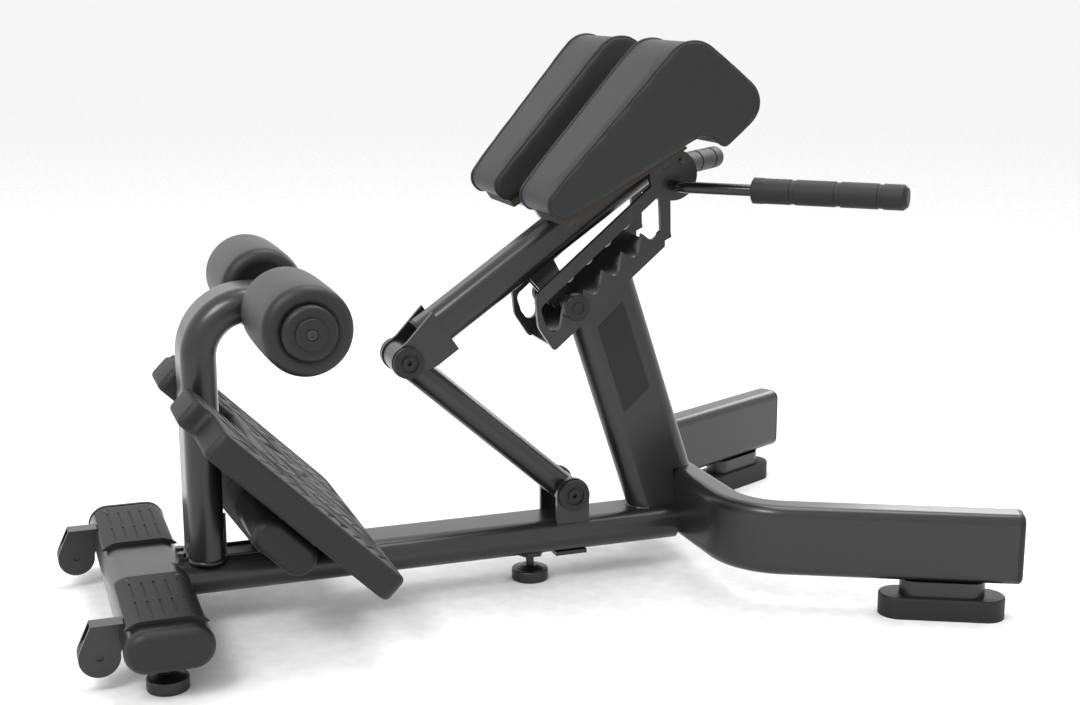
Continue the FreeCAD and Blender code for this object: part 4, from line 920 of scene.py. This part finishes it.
@dataclass
class Fasteners:
    """Weld beads where tubes and plates meet, and the rivet heads of the rack.

    Attributes:
        paints: All materials.
        weld: Radius of the beads round the tubes.
        post_foot: Station of the post's foot, half its length and half its width.
        column_foot: The same for the column.
        column_limit: Station where the column's bead stops, as the rear legs start there.
        fillet_share: Radius of the straight beads over that of the others.
        ripple: Height of the ripple of a straight bead.
        ripple_step: Distance between its points.
        lines: Name, lateral place, and station and level of both ends of each straight bead.
        rack_end: Station and level that the rack's rivets are measured from.
        rivets: Offsets of the rivets.
        rivet_out: Lateral place of the rivets.
        rivet_size: Radius and height of a rivet head.
        made: Pieces built so far.
    """

    paints: Paintbox
    weld: float = 3.2 * MM
    post_foot: tuple[float, float, float] = (-0.464, 0.025, 0.050)
    column_foot: tuple[float, float, float] = (0.254, 0.061, 0.025)
    column_limit: float = 0.256
    fillet_share: float = 0.6
    ripple: float = 0.25 * MM
    ripple_step: float = 2.5 * MM
    lines: tuple[tuple[str, float, tuple[float, float], tuple[float, float]], ...] = (
        ("weld_cheek", 0.0405, (0.060, 0.0935), (0.112, 0.0935)),
        ("weld_gusset", 0.0255, (-0.4375, 0.104), (-0.4375, 0.165)),
        ("weld_web", 0.0255, (-0.436, 0.1015), (-0.392, 0.1015)))
    rack_end: tuple[float, float] = (0.235, 0.622)
    rivets: tuple[tuple[float, float], ...] = ((-0.018, 0.014), (0.012, 0.020))
    rivet_out: float = 0.058
    rivet_size: tuple[float, float] = (4.5 * MM, 3.0 * MM)
    made: list[bpy.types.Object] = field(default_factory=list)

    def build(self) -> list[bpy.types.Object]:
        """Build every bead and head.

        Returns:
            The new pieces.
        """
        skin = bounds_of("base_rail")[1].z
        ahead = [point for point in self.oval(self.column_foot, skin) if point.x < self.column_limit]
        beads = [tube_through("weld_post", self.oval(self.post_foot, skin), self.weld),
                 tube_through("weld_column", ahead, self.weld, closed=False)]
        for sign in (-1, 1):
            for name, out, start, end in self.lines:
                first, last = (Vector((x, sign * out, z)) for x, z in (start, end))
                beads.append(self.seam_line(name, first, last))
        self.place(join("frame_welds", beads), PAINT, "frame", "painted_frame")
        bm = bmesh.new()
        for _, sign in SIDES:
            for along, up in self.rivets:
                spot = lateral(self.rack_end[0] + along, sign * self.rivet_out, self.rack_end[1] + up, sign)
                self.head(bm, spot, *self.rivet_size)
        self.place(finish_mesh("rack_rivets", bm, 40), PAINT, "frame", "painted_frame")
        return self.made

    def oval(self, foot: tuple[float, float, float], z: float) -> list[Vector]:
        """Flat-oval loop round a tube's foot, on the machine's middle plane.

        Args:
            foot: Station of its centre, half its length and half its width.
            z: Height.

        Returns:
            Points of the loop.
        """
        x, half_x, half_y = foot
        small, big = min(half_x, half_y), max(half_x, half_y)
        loop = []
        for step in range(48):
            turn = math.tau * step / 48
            run = (big - small) * (1 if math.cos(turn) > 0 else -1)
            a, b = run + small * math.cos(turn), small * math.sin(turn)
            a, b = (a, b) if half_x > half_y else (b, a)
            loop.append(Vector((x + a, b, z)))
        return loop

    def seam_line(self, name: str, start: Vector, end: Vector) -> bpy.types.Object:
        """Straight bead with a slight ripple between two points.

        Args:
            name: Name of the bead.
            start: First end.
            end: Last end.

        Returns:
            The bead.
        """
        steps = max(6, int((end - start).length / self.ripple_step))
        lift = Vector((0, 0, self.ripple))
        path = [start.lerp(end, i / steps) + lift * (i % 2) for i in range(steps + 1)]
        return tube_through(name, path, self.weld * self.fillet_share, closed=False)

    def head(self, bm: bmesh.types.BMesh, place: Matrix, radius: float, tall: float) -> None:
        """Add a domed head whose axis is the place's Y."""
        profile = [(0, radius), (tall * 0.45, radius * 0.95), (tall * 0.85, radius * 0.6), (tall, 0.0)]
        lathe(bm, profile, place, 20)

    def place(self, piece: bpy.types.Object, finish: Finish, body: str, slot: str) -> None:
        """Dress a piece and fix it to its body."""
        self.paints.dress(piece, finish)
        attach(piece, body)
        self.made.append(piece)


# ------------------------------------------------------------------ CAD nodes

@dataclass
class Frame:
    """Everything that keeps its CAD shape and only needs a finish."""

    paints: Paintbox
    slots: dict[str, Finish] = field(default_factory=lambda: {
        finish.name: finish for finish in FINISHES if finish not in (FLOOR, PIPING)})

    def dress(self, frame: dict) -> None:
        """Dress each node by its slot in the record.

        Args:
            frame: What the frame loader returned.
        """
        for part in frame["record"]["subparts"]:
            node = frame["nodes"][part["node"]]
            self.paints.dress(node, self.slots[part["material_slot"]])
            LOG.info("dressed %s as %s", part["node"], part["material_slot"])


# ------------------------------------------------------------------ studio

@dataclass
class Studio:
    """Pale floor, soft lights and the camera.

    Attributes:
        paints: All materials.
        eye: Place of the camera.
        yaw: Turn of the view from +Y towards +X.
        pitch: Turn of the view downwards.
        lens: Focal length in mm on a sensor 36 mm wide.
        floor_size: Size of the floor in metres.
        sky: Strength of the white world.
        aim: Point that the lights look at.
        lamps: Name, place, size and power of each light.
    """

    paints: Paintbox
    eye: tuple[float, float, float] = (-0.7543, -2.2321, 0.8848)
    yaw: float = math.radians(19.74)
    pitch: float = math.radians(12.57)
    lens: float = 53.87
    floor_size: float = 400
    sky: float = 1.2
    aim: tuple[float, float, float] = (0, 0, 0.4)
    lamps: tuple[tuple[str, tuple[float, float, float], float, float], ...] = (
        ("key", (-1.8, -1.6, 2.6), 1.2, 60),
        ("top", (0.5, 0.3, 3.2), 1.6, 55),
        ("rim", (2.4, 1.8, 1.8), 1.4, 30))

    def build(self) -> None:
        """Set up the floor, the lights, the world and the camera."""
        bm = bmesh.new()
        bmesh.ops.create_grid(bm, x_segments=2, y_segments=2, size=self.floor_size)
        floor = finish_mesh("studio_floor", bm)
        self.paints.dress(floor, FLOOR)
        world = bpy.data.worlds.new("studio")
        world.use_nodes = True
        background = world.node_tree.nodes["Background"]
        background.inputs["Color"].default_value = (1, 1, 1, 1)
        background.inputs["Strength"].default_value = self.sky
        bpy.context.scene.world = world
        bpy.context.scene.view_settings.view_transform = "Standard"
        for lamp in self.lamps:
            self.light(*lamp)
        self.camera()

    def camera(self) -> None:
        """Add the camera and make it the scene's."""
        data = bpy.data.cameras.new("camera")
        data.lens = self.lens
        data.sensor_width = 36
        data.clip_end = 2000
        camera = bpy.data.objects.new("camera", data)
        level = math.cos(self.pitch)
        forward = Vector((math.sin(self.yaw) * level, math.cos(self.yaw) * level, -math.sin(self.pitch)))
        camera.location = self.eye
        camera.rotation_euler = forward.to_track_quat("-Z", "Y").to_euler()
        bpy.context.scene.collection.objects.link(camera)
        bpy.context.scene.camera = camera

    def light(self, name: str, spot: tuple[float, float, float], size: float, power: float) -> None:
        """Add a square area light that looks at the machine."""
        data = bpy.data.lights.new(name, "AREA")
        data.size = size
        data.energy = power
        lamp = bpy.data.objects.new(name, data)
        lamp.location = spot
        lamp.rotation_euler = (Vector(self.aim) - Vector(spot)).to_track_quat("-Z", "Y").to_euler()
        bpy.context.scene.collection.objects.link(lamp)


def main() -> None:
    """Build the scene in order."""
    logging.basicConfig(level=logging.INFO)
    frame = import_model()
    paints = Paintbox()
    Studio(paints).build()
    Frame(paints).dress(frame)
    builders: tuple[Builder, ...] = (
        HipPads(paints, frame["nodes"]), FoamRollers(paints), Footplate(paints), Fasteners(paints))
    for builder in builders:
        for piece in builder.build():
            LOG.info("built %s", piece.name)


if __name__ == "__main__":
    main()
